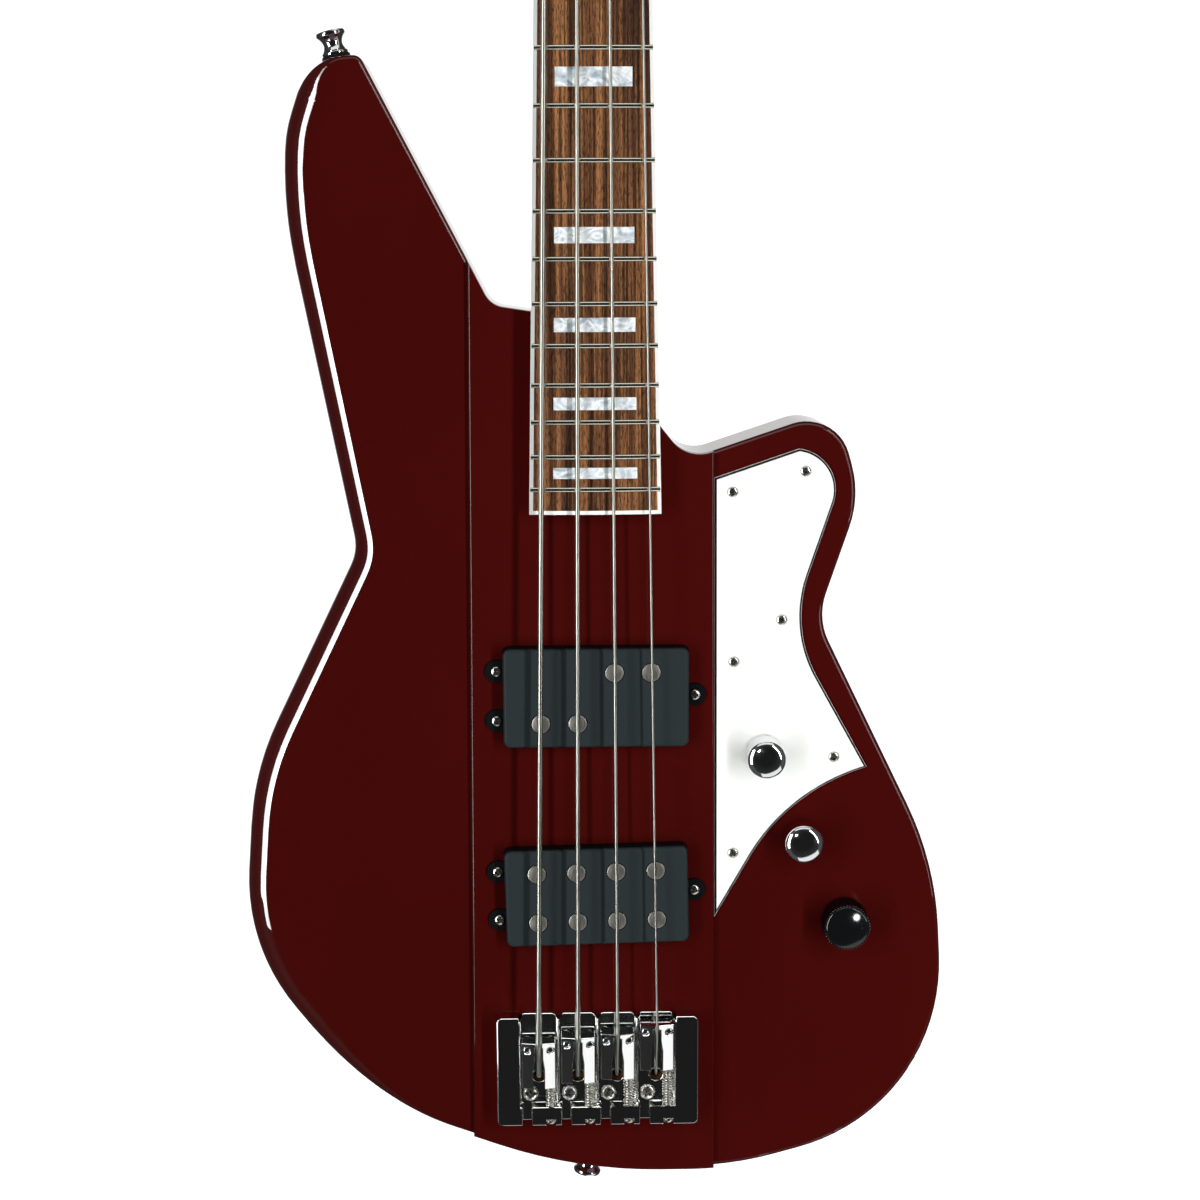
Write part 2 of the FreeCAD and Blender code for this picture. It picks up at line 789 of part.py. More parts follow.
def cover_screw_places():
    """On the lip of the control cover, outside the cavity's corners."""
    out = dim.cover_lip * 0.5
    return [(dim.cavity_top_inner_x - out, dim.cavity_top_inner_y - dim.cavity_top_inner_radius * 2),
            (dim.cavity_top_x - dim.cavity_top_radius, dim.cavity_top_y + out),
            (dim.cavity_side_x + out, dim.cavity_jack_side_y + dim.cavity_jack_side_radius * 2),
            (dim.cavity_jack_x - out, dim.cavity_jack_y + dim.cavity_jack_radius)]


def string_places():
    return [(string_x(index, dim.string_spread_bridge), string_hole_y) for index in range(len(STRINGS))]


def bridge_screw_places():
    screw_y = dim.bridge_rear + dim.bridge_screw_from_rear
    return [(x + dim.bridge_screw_x, screw_y) for x, _ in string_places()]


def cavity_outline(extra):
    """The control cavity's outline, grown by a rim all round."""
    face = Part.Face(Part.Wire([edge.toShape() for edge in outline_edges(corner_list(CAVITY_CORNERS))]))
    if float(extra) == 0:
        return face
    return Part.Face(face.OuterWire.makeOffset2D(float(extra)))


def cavity_solid(extra, bottom, height):
    grown = cavity_outline(extra)
    grown.translate(Vector(0, 0, float(bottom)))
    return formed(grown.extrude(UP * float(height)))


def build_body():
    def edge_radius(point):
        bass = point.x < float(dim.cutaway_bass_x) and point.y < float(dim.horn_inner_y - dim.horn_blend)
        outer = point.x < float(dim.horn_inner_x) or point.y < float(dim.waist_bass_y)
        low = point.y < float(dim.base_bass_y)
        return dim.bass_edge_round if bass and outer and not low else dim.edge_round

    slab = prism(body_edges, 0, dim.wing_thickness)
    doc.recompute()
    wings = fillet(slab, top_edges(slab, dim.wing_thickness, edge_radius),
                   top_edges(slab, 0, lambda point: dim.edge_round))
    lines = [(dim.ridge_bass_bottom, dim.ridge_line_bottom), (dim.ridge_treble_bottom, dim.ridge_line_bottom),
             (dim.ridge_treble_top, dim.ridge_line_top), (dim.ridge_bass_top, dim.ridge_line_top)]
    band_bottom = dim.wing_thickness / 2
    band_height = ridge_top - band_bottom
    strip = prism(polygon_edges(lines), band_bottom, band_height)
    rim = Part.Wire([edge.toShape() for edge in body_edges])
    inner = Part.Face(rim.makeOffset2D(-float(dim.ridge_inset)))
    inner.translate(UP * float(band_bottom))
    band = common(formed(inner.extrude(UP * float(band_height))), strip)
    doc.recompute()
    ridge = fillet(band, top_edges(band, ridge_top, lambda point: dim.ridge_round, dim.heel_end))
    gap = dim.part_gap
    tall = dim.pocket_depth + dim.ridge_rise
    pocket = board_outline(dim.heel_end - gap, -gap, dim.heel_front + dim.pocket_run_out)
    tools = [prism(pocket, pocket_floor, tall)]
    tools += [pickup_rout(centre_y, slant) for centre_y, slant, _ in PICKUPS.values()]
    tools.append(cavity_solid(0, 0, cavity_top))
    tools.append(cavity_solid(dim.cover_lip, 0, dim.cover_thickness + gap))
    for knob in KNOBS:
        x, y = getattr(dim, f"{knob}_x"), getattr(dim, f"{knob}_y")
        tools.append(cylinder((x, y, cavity_top), dim.pot_bushing_radius + gap, dim.cavity_roof))
    bolt = dim.neck_bolt_radius + gap
    for x, y in neck_bolt_places():
        tools.append(cylinder((x, y, 0), bolt, pocket_floor))
        tools.append(cylinder((x, y, 0), dim.neck_ferrule_radius + dim.fit_gap, dim.neck_ferrule_height))
    for x, y in string_places():
        tools.append(cylinder((x, y, 0), dim.string_hole_radius, ridge_top))
        tools.append(cylinder((x, y, 0), dim.string_ferrule_radius + dim.fit_gap, dim.string_ferrule_length))
    pilot = dim.wood_screw_radius + dim.fit_gap
    for x, y in bridge_screw_places():
        tip = bridge_floor_top - dim.bridge_screw_length
        tools.append(cylinder((x, y, tip), pilot, dim.bridge_screw_length))
    for name in GUARD_SCREWS:
        x, y = getattr(dim, f"{name}_x"), getattr(dim, f"{name}_y")
        tools.append(cylinder((x, y, guard_top - dim.wood_screw_length), pilot, dim.wood_screw_length))
    for x, y in cover_screw_places():
        tools.append(cylinder((x, y, 0), pilot, dim.wood_screw_length))
    for point, out in BUTTONS:
        flat_start = at_side(point, out, -dim.fit_gap)
        tools.append(cylinder(flat_start, dim.button_radius + dim.free_gap, dim.button_length, out))
        length, bore = dim.button_screw_length, dim.button_screw_radius + dim.fit_gap
        tools.append(cylinder(at_side(point, out, -length), bore, length, out))
    cup, cup_depth = dim.jack_cup_radius + gap, dim.jack_cup_depth
    tools.append(cylinder(at_side(JACK_POINT, JACK_OUT, -cup_depth), cup, cup_depth * 2, JACK_OUT))
    bore_length = dim.jack_length + cup_depth + dim.jack_bore_spare
    tools.append(cylinder(at_side(JACK_POINT, JACK_OUT, -bore_length), dim.jack_barrel_radius + gap,
                          bore_length, JACK_OUT))
    node("body", cut(fuse(wings, ridge), *tools))


def section_wire(y, half_width, depth):
    """A neck section: flat on top and half an ellipse below."""
    y, half_width, depth, top = float(y), float(half_width), float(depth), float(board_bottom)
    ellipse = Part.Ellipse(Vector(half_width, y, top), Vector(0, y, top - depth), Vector(0, y, top))
    lower = Part.ArcOfEllipse(ellipse, 0, math.pi).toShape()
    if lower.CenterOfMass.z > top:
        lower = Part.ArcOfEllipse(ellipse, math.pi, 2 * math.pi).toShape()
    ends = [vertex.Point for vertex in lower.Vertexes]
    return Part.Wire([lower, Part.LineSegment(ends[1], ends[0]).toShape()])


def loft(*wires):
    result = doc.addObject("Part::Loft", "loft")
    result.Sections = [formed(wire) for wire in wires]
    result.Solid = True
    result.Ruled = True
    return result


def build_neck():
    """Shaft with a D section, square heel, and a headstock set below the nut."""
    heel_y = float(dim.heel_front)
    shaft_start = dim.heel_front - dim.heel_blend
    shaft = loft(section_wire(shaft_start, board_half(dim.heel_front), dim.neck_depth_heel),
                 section_wire(volute_start, board_half(volute_start), dim.neck_depth_nut))
    volute = loft(section_wire(volute_start, board_half(volute_start), dim.neck_depth_nut),
                  section_wire(volute_end, dim.nut_width / 2 + dim.volute_flare, board_bottom - head_bottom))
    heel_height = board_bottom - pocket_floor
    heel = prism(board_outline(dim.heel_end, 0, dim.heel_front), pocket_floor, heel_height)
    doc.recompute()
    front = [chosen for chosen in top_edges(heel, pocket_floor, lambda point: dim.heel_round)
             if all(abs(corner.Y - heel_y) < 1e-4 for corner in heel.Shape.Edges[chosen[0] - 1].Vertexes)]
    heel = fillet(heel, front)
    corners = [(x, dim.scale_length + beyond, radius) for x, beyond, radius in corner_list(HEAD_CORNERS)]
    slab = prism(outline_edges(corners), head_bottom, dim.head_thickness)
    doc.recompute()
    head = fillet(slab, top_edges(slab, head_top, lambda point: dim.head_edge_round),
                  top_edges(slab, head_bottom, lambda point: dim.head_edge_round))
    nut_back = dim.scale_length + dim.nut_thickness
    rise = board_bottom - head_top
    reach = math.sqrt(float(rise * (dim.head_scoop * 2 - rise)))
    tangent_y = nut_back + reach
    wide = dim.nut_width * 4
    scoop = cylinder((-wide / 2, tangent_y, head_top + dim.head_scoop), dim.head_scoop, wide, Vector(1, 0, 0))
    above = box((-wide / 2, tangent_y, head_top), (wide, dim.nut_width * 8, dim.head_scoop))
    rod = dim.truss_rod_radius + dim.part_gap
    channel = box((-rod, truss_rod_start - dim.part_gap, board_bottom - rod * 2),
                  (rod * 2, truss_rod_length + dim.part_gap * 2, rod * 3))
    holes = [cylinder((x, y, pocket_floor), dim.neck_bolt_radius + dim.fit_gap, dim.neck_bolt_bite)
             for x, y in neck_bolt_places()]
    tuner_holes = [cylinder((x, y, head_bottom), dim.tuner_bushing_radius + dim.fit_gap, dim.head_thickness)
                   for x, y in tuner_places()]
    pilots = [cylinder((x, y, head_bottom), dim.wood_screw_radius + dim.fit_gap, dim.wood_screw_length)
              for x, y in tuner_screw_places()]
    node("neck", cut(fuse(shaft, volute, heel, head), scoop, above, channel, *holes, *tuner_holes, *pilots))
    rod_start = (0, truss_rod_start, board_bottom - rod)
    node("truss_rod", cylinder(rod_start, dim.truss_rod_radius, truss_rod_length, Vector(0, 1, 0)))
    bolts, ferrules = [], []
    for x, y in neck_bolt_places():
        seat = dim.neck_ferrule_height - dim.neck_ferrule_wall
        ferrule = cylinder((x, y, 0), dim.neck_ferrule_radius, dim.neck_ferrule_height)
        sink = cylinder((x, y, 0), dim.neck_ferrule_radius - dim.neck_ferrule_wall, seat)
        ferrules.append(cut(ferrule, sink, cylinder((x, y, 0), dim.neck_bolt_radius + dim.part_gap,
                                                    dim.neck_ferrule_height)))
        length = pocket_floor + dim.neck_bolt_bite - seat - dim.free_gap
        head = dim.neck_ferrule_radius - dim.neck_ferrule_wall - dim.free_gap
        bolts.append(screw((x, y, seat), head, seat - dim.free_gap, dim.neck_bolt_radius, length, UP))
    node("neck_bolts", group(*bolts))
    node("neck_bolt_ferrules", group(*ferrules))


def build_fingerboard():
    """Bound fingerboard with slotted frets, block inlays and the nut."""
    inner_start = board_end + dim.binding_width
    whole = prism(board_outline(board_end, 0), board_bottom, dim.board_thickness)
    core = prism(board_outline(inner_start, dim.binding_width), board_bottom, dim.board_thickness)
    slots, pockets, blocks = [], [], []
    for number in range(1, SIZES["fret_count"] + 1):
        y = fret_y(number)
        half = board_half(y) - dim.binding_width
        slot = dim.tang_width + dim.fit_gap
        slots.append(box((-half, y - slot / 2, board_top - dim.tang_slot_depth),
                         (half * 2, slot, dim.tang_slot_depth)))
    for number in INLAID_FRETS:
        low, high = fret_y(number), fret_y(number - 1)
        middle = (low + high) / 2
        length = (high - low) * dim.inlay_length_ratio
        width = board_half(middle) * 2 * dim.inlay_width_ratio
        gap = dim.fit_gap / 2
        bed = board_top - dim.inlay_depth
        pockets.append(box((-width / 2 - gap, middle - length / 2 - gap, bed),
                           (width + gap * 2, length + gap * 2, dim.inlay_depth)))
        blocks.append(crowned(box((-width / 2, middle - length / 2, bed), (width, length, dim.inlay_depth))))
    node("fingerboard", cut(crowned(core), *slots, *pockets))
    opening = prism(board_outline(inner_start, dim.binding_width), board_bottom, dim.board_thickness)
    node("fingerboard_binding", cut(crowned(whole), opening))
    node("inlay_blocks", group(*blocks))
    node("frets", formed(Part.Compound([fret(number) for number in range(1, SIZES["fret_count"] + 1)])))


def arched_bar(edges, half_width):
    """A bar section, drawn square to the fingerboard's curve and turned about the curve's axis."""
    radius = float(dim.board_radius)
    axis = Vector(0, 0, float(board_top) - radius)
    swing = math.degrees(math.asin(half_width / radius))
    face = Part.Face(Part.Wire([edge.toShape() for edge in edges]))
    face.rotate(axis, Vector(0, 1, 0), -swing)
    return face.revolve(axis, Vector(0, 1, 0), swing * 2)


def fret(number):
    """One fret: a crown over the full width and a tang between the bindings."""
    y, top = fret_y(number), float(board_top)
    half_crown, half_tang = float(dim.fret_width) / 2, float(dim.tang_width) / 2
    left, right = Vector(0, y - half_crown, top), Vector(0, y + half_crown, top)
    crown = [Part.Arc(left, Vector(0, y, top + float(dim.fret_height)), right), Part.LineSegment(right, left)]
    depth = float(dim.tang_depth)
    corners = [Vector(0, y - half_tang, top), Vector(0, y + half_tang, top),
               Vector(0, y + half_tang, top - depth), Vector(0, y - half_tang, top - depth)]
    tang = [Part.LineSegment(a, b) for a, b in zip(corners, corners[1:] + corners[:1])]
    half = float(board_half(y))
    return arched_bar(crown, half - float(dim.fret_inset)).fuse(
        arched_bar(tang, half - float(dim.binding_width + dim.free_gap)))


def nut_string(index):
    """Where a string's centre line crosses the front of the nut."""
    x = string_x(index, dim.string_spread_nut)
    under = float(board_top + dim.string_above_nut_board) - crown_drop(x)
    return Vector(float(x), float(dim.scale_length), under + string_radius(index))


def string_radius(index):
    return SIZES[f"string_diameter_{STRINGS[index]}"] / 2


def build_nut():
    half = board_half(dim.scale_length)
    blank = box((-half, dim.scale_length, board_bottom), (half * 2, dim.nut_thickness, dim.nut_height))
    slots = []
    for index in range(len(STRINGS)):
        crossing = nut_string(index)
        radius = string_radius(index) + float(dim.free_gap) / 2
        fall = string_fall(index)
        start = crossing - fall
        length = float(dim.nut_thickness) * 2
        slots.append(cylinder(start, radius, length, fall))
        slots.append(box((start.x - radius, start.y, start.z), (2 * radius, length, dim.nut_height)))
    node("nut", cut(blank, *slots))


# Tuners: the housings are screwed to the back of the headstock, with posts that stand up through it.
def tuner_directions():
    angle = math.radians(float(dim.tuner_line_angle))
    along = Vector(math.sin(angle), math.cos(angle), 0)
    out = Vector(-math.cos(angle), math.sin(angle), 0)
    return along, out


def tuner_places():
    along, _ = tuner_directions()
    first = Vector(float(dim.tuner_first_x), float(dim.scale_length + dim.tuner_first_beyond_nut), 0)
    spots = [first + along * (float(dim.tuner_pitch) * index) for index in range(len(STRINGS))]
    return [(spot.x, spot.y) for spot in spots]


def tuner_screw_places():
    along, _ = tuner_directions()
    back = -float(dim.tuner_housing_length / 2 + dim.part_gap)
    return [(x + along.x * back, y + along.y * back) for x, y in tuner_places()]


def winding_radius(index):
    return float(dim.tuner_post_radius + dim.free_gap) + string_radius(index)


flange_top = head_top + dim.tuner_flange_height
housing_top = head_bottom
housing_bottom = housing_top - dim.tuner_housing_height
worm_height = housing_bottom + dim.tuner_housing_height / 2
WRAPS = (2.25, 2.25, 3.25, 3.25)


def winding_start(index):
    """Where a string first touches its post: the point, the way it runs there in plan, and its height."""
    nut_at = nut_string(index)
    x, y = tuner_places()[index]
    centre = Vector(x, y, 0)
    to_post = Vector(x - nut_at.x, y - nut_at.y, 0)
    radius = winding_radius(index)
    swing = math.asin(radius / to_post.Length)
    way = Rotation(UP, math.degrees(-swing)).multVec(to_post).normalize()
    run = math.sqrt(to_post.Length ** 2 - radius ** 2)
    height = float(flange_top + dim.free_gap * 2) + string_radius(index)
    return Vector(nut_at.x, nut_at.y, 0) + way * run + UP * height, way, centre


def string_fall(index):
    """The direction of a string from the nut down to its post."""
    start, way, _ = winding_start(index)
    return (start - way * float(dim.string_lead_in) - nut_string(index)).normalize()


def arc_edge(start, tangent, end):
    """The circular arc that leaves start along a tangent and ends at a point."""
    chord = end - start
    ahead = chord.normalize()
    length = (end - start).Length
    aside = tangent - ahead * tangent.dot(ahead)
    if aside.Length < 1e-6:
        return Part.LineSegment(start, end).toShape()
    sag = length / 2 * math.tan(tangent.getAngle(ahead) / 2)
    middle = (start + end) * 0.5 + aside.normalize() * sag
    return Part.Arc(start, middle, end).toShape()


def biarc(start, start_way, end, end_way):
    """Two tangent arcs from one point and direction to another."""
    across = end - start
    both = start_way + end_way
    spread = 2 * (1 - start_way.dot(end_way))
    along = across.dot(both)
    step = (-along + math.sqrt(along ** 2 + spread * across.dot(across))) / spread
    joint = (start + end + (start_way - end_way) * step) * 0.5
    middle_way = (joint - (start + start_way * step)).normalize()
    return [arc_edge(start, start_way, joint), arc_edge(joint, middle_way, end)]


def helix_edges(point_at, turns, pieces_per_turn):
    """A helix as biarcs. point_at gives the point and direction after some turns."""
    count = max(1, round(turns * pieces_per_turn))
    stops = [point_at(turns * index / count) for index in range(count + 1)]
    edges = []
    for (start, start_way), (end, end_way) in zip(stops, stops[1:]):
        edges += biarc(start, start_way, end, end_way)
    return edges


def rounded_path(points, radii):
    """Straight runs joined by tangent arcs."""
    edges = []
    here = points[0]
    for before, corner, after, radius in zip(points, points[1:], points[2:], radii):
        back, ahead = (before - corner).normalize(), (after - corner).normalize()
        half = back.getAngle(ahead) / 2
        step = radius / math.tan(half)
        middle = corner + (back + ahead).normalize() * (radius / math.sin(half) - radius)
        start, end = corner + back * step, corner + ahead * step
        edges.append(Part.LineSegment(here, start).toShape())
        edges.append(Part.Arc(start, middle, end).toShape())
        here = end
    edges.append(Part.LineSegment(here, points[-1]).toShape())
    return edges


def tube(edges, radius):
    path = Part.Wire(edges)
    first = edges[0]
    start = first.valueAt(first.FirstParameter)
    way = first.tangentAt(first.FirstParameter)
    ring = Part.Wire(Part.makeCircle(radius, start, way))
    return path.makePipeShell([ring], True, False)


def least_gap(point_at, turns, wire):
    """The least distance between neighbouring turns, measured on points, less the wire's thickness."""
    steps = 24
    total = int(turns * steps)
    points = [point_at(index / steps)[0] for index in range(total + 1)]
    apart = steps // 2
    gaps = [(a - b).Length for i, a in enumerate(points) for b in points[i + apart:]]
    return min(gaps) - wire


def saddle_front(letter):
    return bridge_wall_front + getattr(dim, f"spring_room_{letter}") + dim.saddle_length


def saddle_string(index):
    """Where a string breaks over its saddle."""
    x = float(string_x(index, dim.string_spread_bridge))
    front = saddle_front(STRINGS[index])
    height = float(ridge_top + dim.string_above_bridge) - crown_drop(x) + string_radius(index)
    return Vector(x, float(front - dim.saddle_front_wall), height)


def winding_point(index):
    start, way, centre = winding_start(index)
    radius = winding_radius(index)
    pitch = 2 * string_radius(index) + float(dim.winding_gap)
    first_angle = math.atan2(start.y - centre.y, start.x - centre.x)

    def point_at(turns):
        angle = first_angle + 2 * math.pi * turns
        place_there = Vector(centre.x + radius * math.cos(angle), centre.y + radius * math.sin(angle),
                             start.z + pitch * turns)
        around = 2 * math.pi * radius
        heading = Vector(-math.sin(angle) * around, math.cos(angle) * around, pitch)
        return place_there, heading.normalize()
    return point_at


def build_strings():
    """Each string runs from its ball in the back ferrule, over saddle and nut, to its winding on the post."""
    ferrules = []
    cup_depth = dim.string_ferrule_length - dim.string_ferrule_floor
    for index, letter in enumerate(STRINGS):
        radius = string_radius(index)
        break_point = saddle_string(index)
        hole_y = float(string_hole_y)
        ball_top = float(cup_depth - dim.part_gap)
        ball_low = ball_top - float(dim.ball_length)
        rise = Vector(break_point.x, hole_y, float(bridge_floor_top + dim.string_rise))
        point_at = winding_point(index)
        start, heading = point_at(0)
        lead_in = start - heading * float(dim.string_lead_in)
        foot = Vector(break_point.x, hole_y, ball_top - radius)
        points = [foot, rise, break_point, nut_string(index), lead_in, start]
        bends = (dim.string_bend_floor, dim.string_bend_saddle, dim.string_bend_nut, dim.string_bend_post)
        edges = rounded_path(points, [float(bend) for bend in bends])
        wire = tube(edges + helix_edges(point_at, WRAPS[index], 4), radius)
        ball = Part.makeCylinder(float(dim.ball_radius), float(dim.ball_length),
                                 Vector(break_point.x, hole_y, ball_low))
        print(f"string_{letter} winding gap", round(least_gap(point_at, WRAPS[index], 2 * radius), 2))
        node(f"string_{letter}", formed(wire.fuse(ball)))
        base = (break_point.x, string_hole_y, 0)
        cup = cylinder(base, dim.string_ferrule_radius, dim.string_ferrule_length - dim.fit_gap)
        ferrules.append(cut(cup, cylinder(base, dim.string_ferrule_bore, cup_depth),
                            cylinder(base, dim.string_hole_radius - dim.part_gap, dim.string_ferrule_length)))
    node("string_ferrules", group(*ferrules))


# The bridge: one base with a bay for each saddle, adjusting screws and springs.
def build_bridge():
    half = dim.bridge_width / 2
    middle_y = bridge_front - dim.bridge_length / 2
    plan = prism(rounded_rectangle(half, dim.bridge_length / 2, dim.bridge_corner, 0, middle_y),
                 ridge_top, dim.bridge_height)
    top = ridge_top + dim.bridge_height
    profile = outline_edges([(-half, ridge_top, 0), (half, ridge_top, 0), (half, top, dim.bridge_side_round),
                             (-half, top, dim.bridge_side_round)])
    block = common(plan, prism_along(profile, (0, dim.bridge_rear, 0), dim.bridge_length, FRONT_VIEW))
    tools = []
    pitch = dim.string_spread_bridge / (len(STRINGS) - 1)
    bay_depth = dim.bridge_length - dim.bridge_rear_wall
    spare = dim.fit_gap * 2
    for x, _ in string_places():
        tools.append(box((x - dim.bay_width / 2, bridge_wall_front, bridge_floor_top),
                         (dim.bay_width, bay_depth, dim.bridge_height)))
        tools.append(box((x + dim.bay_notch_x - dim.bay_notch_width / 2, dim.bridge_rear, bridge_floor_top),
                         (dim.bay_notch_width, dim.bridge_rear_wall, dim.bridge_height)))
        tools.append(cylinder((x, string_hole_y, ridge_top), dim.bridge_string_hole_radius, dim.bridge_floor))
        screw_x = x + dim.intonation_x
        height = bridge_floor_top + dim.intonation_above_floor
        rear_end = (screw_x, dim.bridge_rear, height)
        shank, head = dim.intonation_screw_radius + spare, dim.intonation_head_radius + spare
        tools.append(cylinder(rear_end, shank, dim.bridge_rear_wall, Vector(0, 1, 0)))
        tools.append(cylinder(rear_end, head, dim.intonation_head_height, Vector(0, 1, 0)))
    wide = pitch * (len(STRINGS) - 1) + dim.bay_width
    tools.append(box((-wide / 2, bridge_wall_front, bridge_floor_top + dim.bay_wall_height),
                     (wide, bay_depth, dim.bridge_height)))
    for x, _ in string_places():
        tip = bridge_front - dim.bay_chamfer
        for side in (-1, 1):
            corner = x + pitch / 2 * side
            nick = [(corner, tip), (corner - dim.bay_chamfer * side, bridge_front), (corner, bridge_front)]
            tools.append(prism(polygon_edges(nick), ridge_top, dim.bridge_height))
    for x, y in bridge_screw_places():
        tools.append(cylinder((x, y, ridge_top), dim.wood_screw_radius + dim.fit_gap, dim.bridge_floor))
    node("bridge_base", cut(block, *tools))
    screws = [screw((x, y, bridge_floor_top), dim.bridge_screw_head, dim.bridge_screw_head_height,
                    dim.wood_screw_radius, dim.bridge_screw_length - dim.free_gap)
              for x, y in bridge_screw_places()]
    node("bridge_screws", group(*screws))


def build_saddles():
    saddles, height_screws, intonation_screws, springs = [], [], [], []
    for index, letter in enumerate(STRINGS):
        x = string_x(index, dim.string_spread_bridge)
        front = saddle_front(letter)
        rear = front - dim.saddle_length
        low = bridge_floor_top + dim.saddle_lift
        string_at = saddle_string(index)
        high = string_at.z
        side = polygon_edges([(front, low), (front, high), (rear, high), (rear, low)])
        half = dim.saddle_width / 2
        lean = math.atan2(float(dim.saddle_fall), float(dim.saddle_length))
        ridge = (high - dim.saddle_fall) * math.cos(lean)
        eaves = ridge - dim.saddle_roof_drop * math.cos(lean)
        roof = polygon_edges([(-half, 0), (half, 0), (half, eaves), (0, ridge), (-half, eaves)])
        falling = Rotation(Vector(-1, 0, 0), Vector(0, -math.sin(lean), math.cos(lean)),
                           Vector(0, math.cos(lean), math.sin(lean)), "XYZ")
        block = common(prism_along(side, (x - half, 0, 0), dim.saddle_width, SIDE_VIEW),
                       prism_along(roof, (x, rear, 0), 2 * dim.saddle_length, falling))
        slot_front, slot_rear = dim.saddle_slot_front / 2, dim.saddle_slot_rear / 2
        wall_back = front - dim.saddle_front_wall
        neck_in, neck_out = wall_back - dim.saddle_length / 4, wall_back - dim.saddle_length / 2
        fork = [(x - slot_front, wall_back), (x + slot_front, wall_back), (x + slot_front, neck_in),
                (x + slot_rear, neck_out), (x + slot_rear, rear), (x - slot_rear, rear),
                (x - slot_rear, neck_out), (x - slot_front, neck_in)]
        tools = [prism(polygon_edges(fork), low, dim.string_above_bridge)]
        groove = string_radius(index) + float(dim.part_gap) / 2
        bed = string_at.z - string_radius(index) - float(dim.free_gap)
        tall = dim.string_above_bridge
        tools.append(box((x - groove, wall_back, bed), (2 * groove, dim.saddle_front_wall, tall)))
        for side_sign in (-1, 1):
            screw_x, screw_y = x + dim.height_screw_x * side_sign, front - dim.height_screw_back
            length = high - dim.saddle_roof_drop - bridge_floor_top
            foot = (screw_x, screw_y, bridge_floor_top)
            tools.append(cylinder(foot, dim.height_screw_radius + dim.fit_gap, tall))
            height_screws.append(cylinder(foot, dim.height_screw_radius, length))
        axis_x, axis_z = x + dim.intonation_x, bridge_floor_top + dim.intonation_above_floor
        bore = dim.intonation_screw_radius + dim.fit_gap
        tip = rear + dim.intonation_bite
        tools.append(cylinder((axis_x, rear, axis_z), bore, dim.intonation_bite, Vector(0, 1, 0)))
        saddles.append(cut(block, *tools))
        head_seat = dim.bridge_rear + dim.intonation_head_height
        head = cylinder((axis_x, dim.bridge_rear, axis_z), dim.intonation_head_radius,
                        dim.intonation_head_height, Vector(0, 1, 0))
        shank = cylinder((axis_x, head_seat, axis_z), dim.intonation_screw_radius,
                         tip - head_seat - dim.part_gap, Vector(0, 1, 0))
        intonation_screws.append(fuse(head, shank))
        springs.append(spring(float(axis_x), float(axis_z), float(bridge_wall_front), float(rear), letter))
    node("saddles", group(*saddles))
    node("saddle_height_screws", group(*height_screws))
    node("intonation_screws", group(*intonation_screws))
    node("intonation_springs", formed(Part.Compound(springs)))


def spring(x, z, start, end, letter):
    """A coil spring on an intonation screw, from the rear wall to its saddle."""
    wire, radius = float(dim.spring_wire), float(dim.spring_radius)
    room = end - start - wire - 2 * float(dim.part_gap)
    turns = max(2, round(room / float(dim.spring_pitch)))
    pitch = room / turns
    first = start + wire / 2 + float(dim.part_gap)

    def point_at(count):
        angle = 2 * math.pi * count
        around = 2 * math.pi * radius
        spot = Vector(x + radius * math.cos(angle), first + pitch * count, z + radius * math.sin(angle))
        return spot, Vector(-math.sin(angle) * around, pitch, math.cos(angle) * around).normalize()
    print(f"spring_{letter} turns", turns, "gap", round(least_gap(point_at, turns, wire), 2))
    return tube(helix_edges(point_at, turns, 2), wire / 2)


def build_guard():
    sheet_blank = prism(guard_edges(), dim.wing_thickness, dim.guard_thickness)
    doc.recompute()
    bevel = doc.addObject("Part::Chamfer", "bevel")
    bevel.Base = sheet_blank
    bevel.Edges = top_edges(sheet_blank, guard_top, lambda point: dim.guard_bevel)
    holes = [cylinder((dim.volume_x, dim.volume_y, dim.wing_thickness), dim.pot_bushing_radius + dim.part_gap,
                      dim.guard_thickness)]
    screws = []
    for name in GUARD_SCREWS:
        x, y = getattr(dim, f"{name}_x"), getattr(dim, f"{name}_y")
        holes.append(cylinder((x, y, dim.wing_thickness), dim.wood_screw_radius + dim.fit_gap,
                              dim.guard_thickness))
        screws.append(screw((x, y, guard_top), dim.wood_screw_head, dim.wood_screw_head_height,
                            dim.wood_screw_radius, dim.wood_screw_length - dim.free_gap))
    node("pickguard", cut(bevel, *holes))
    node("pickguard_screws", group(*screws))


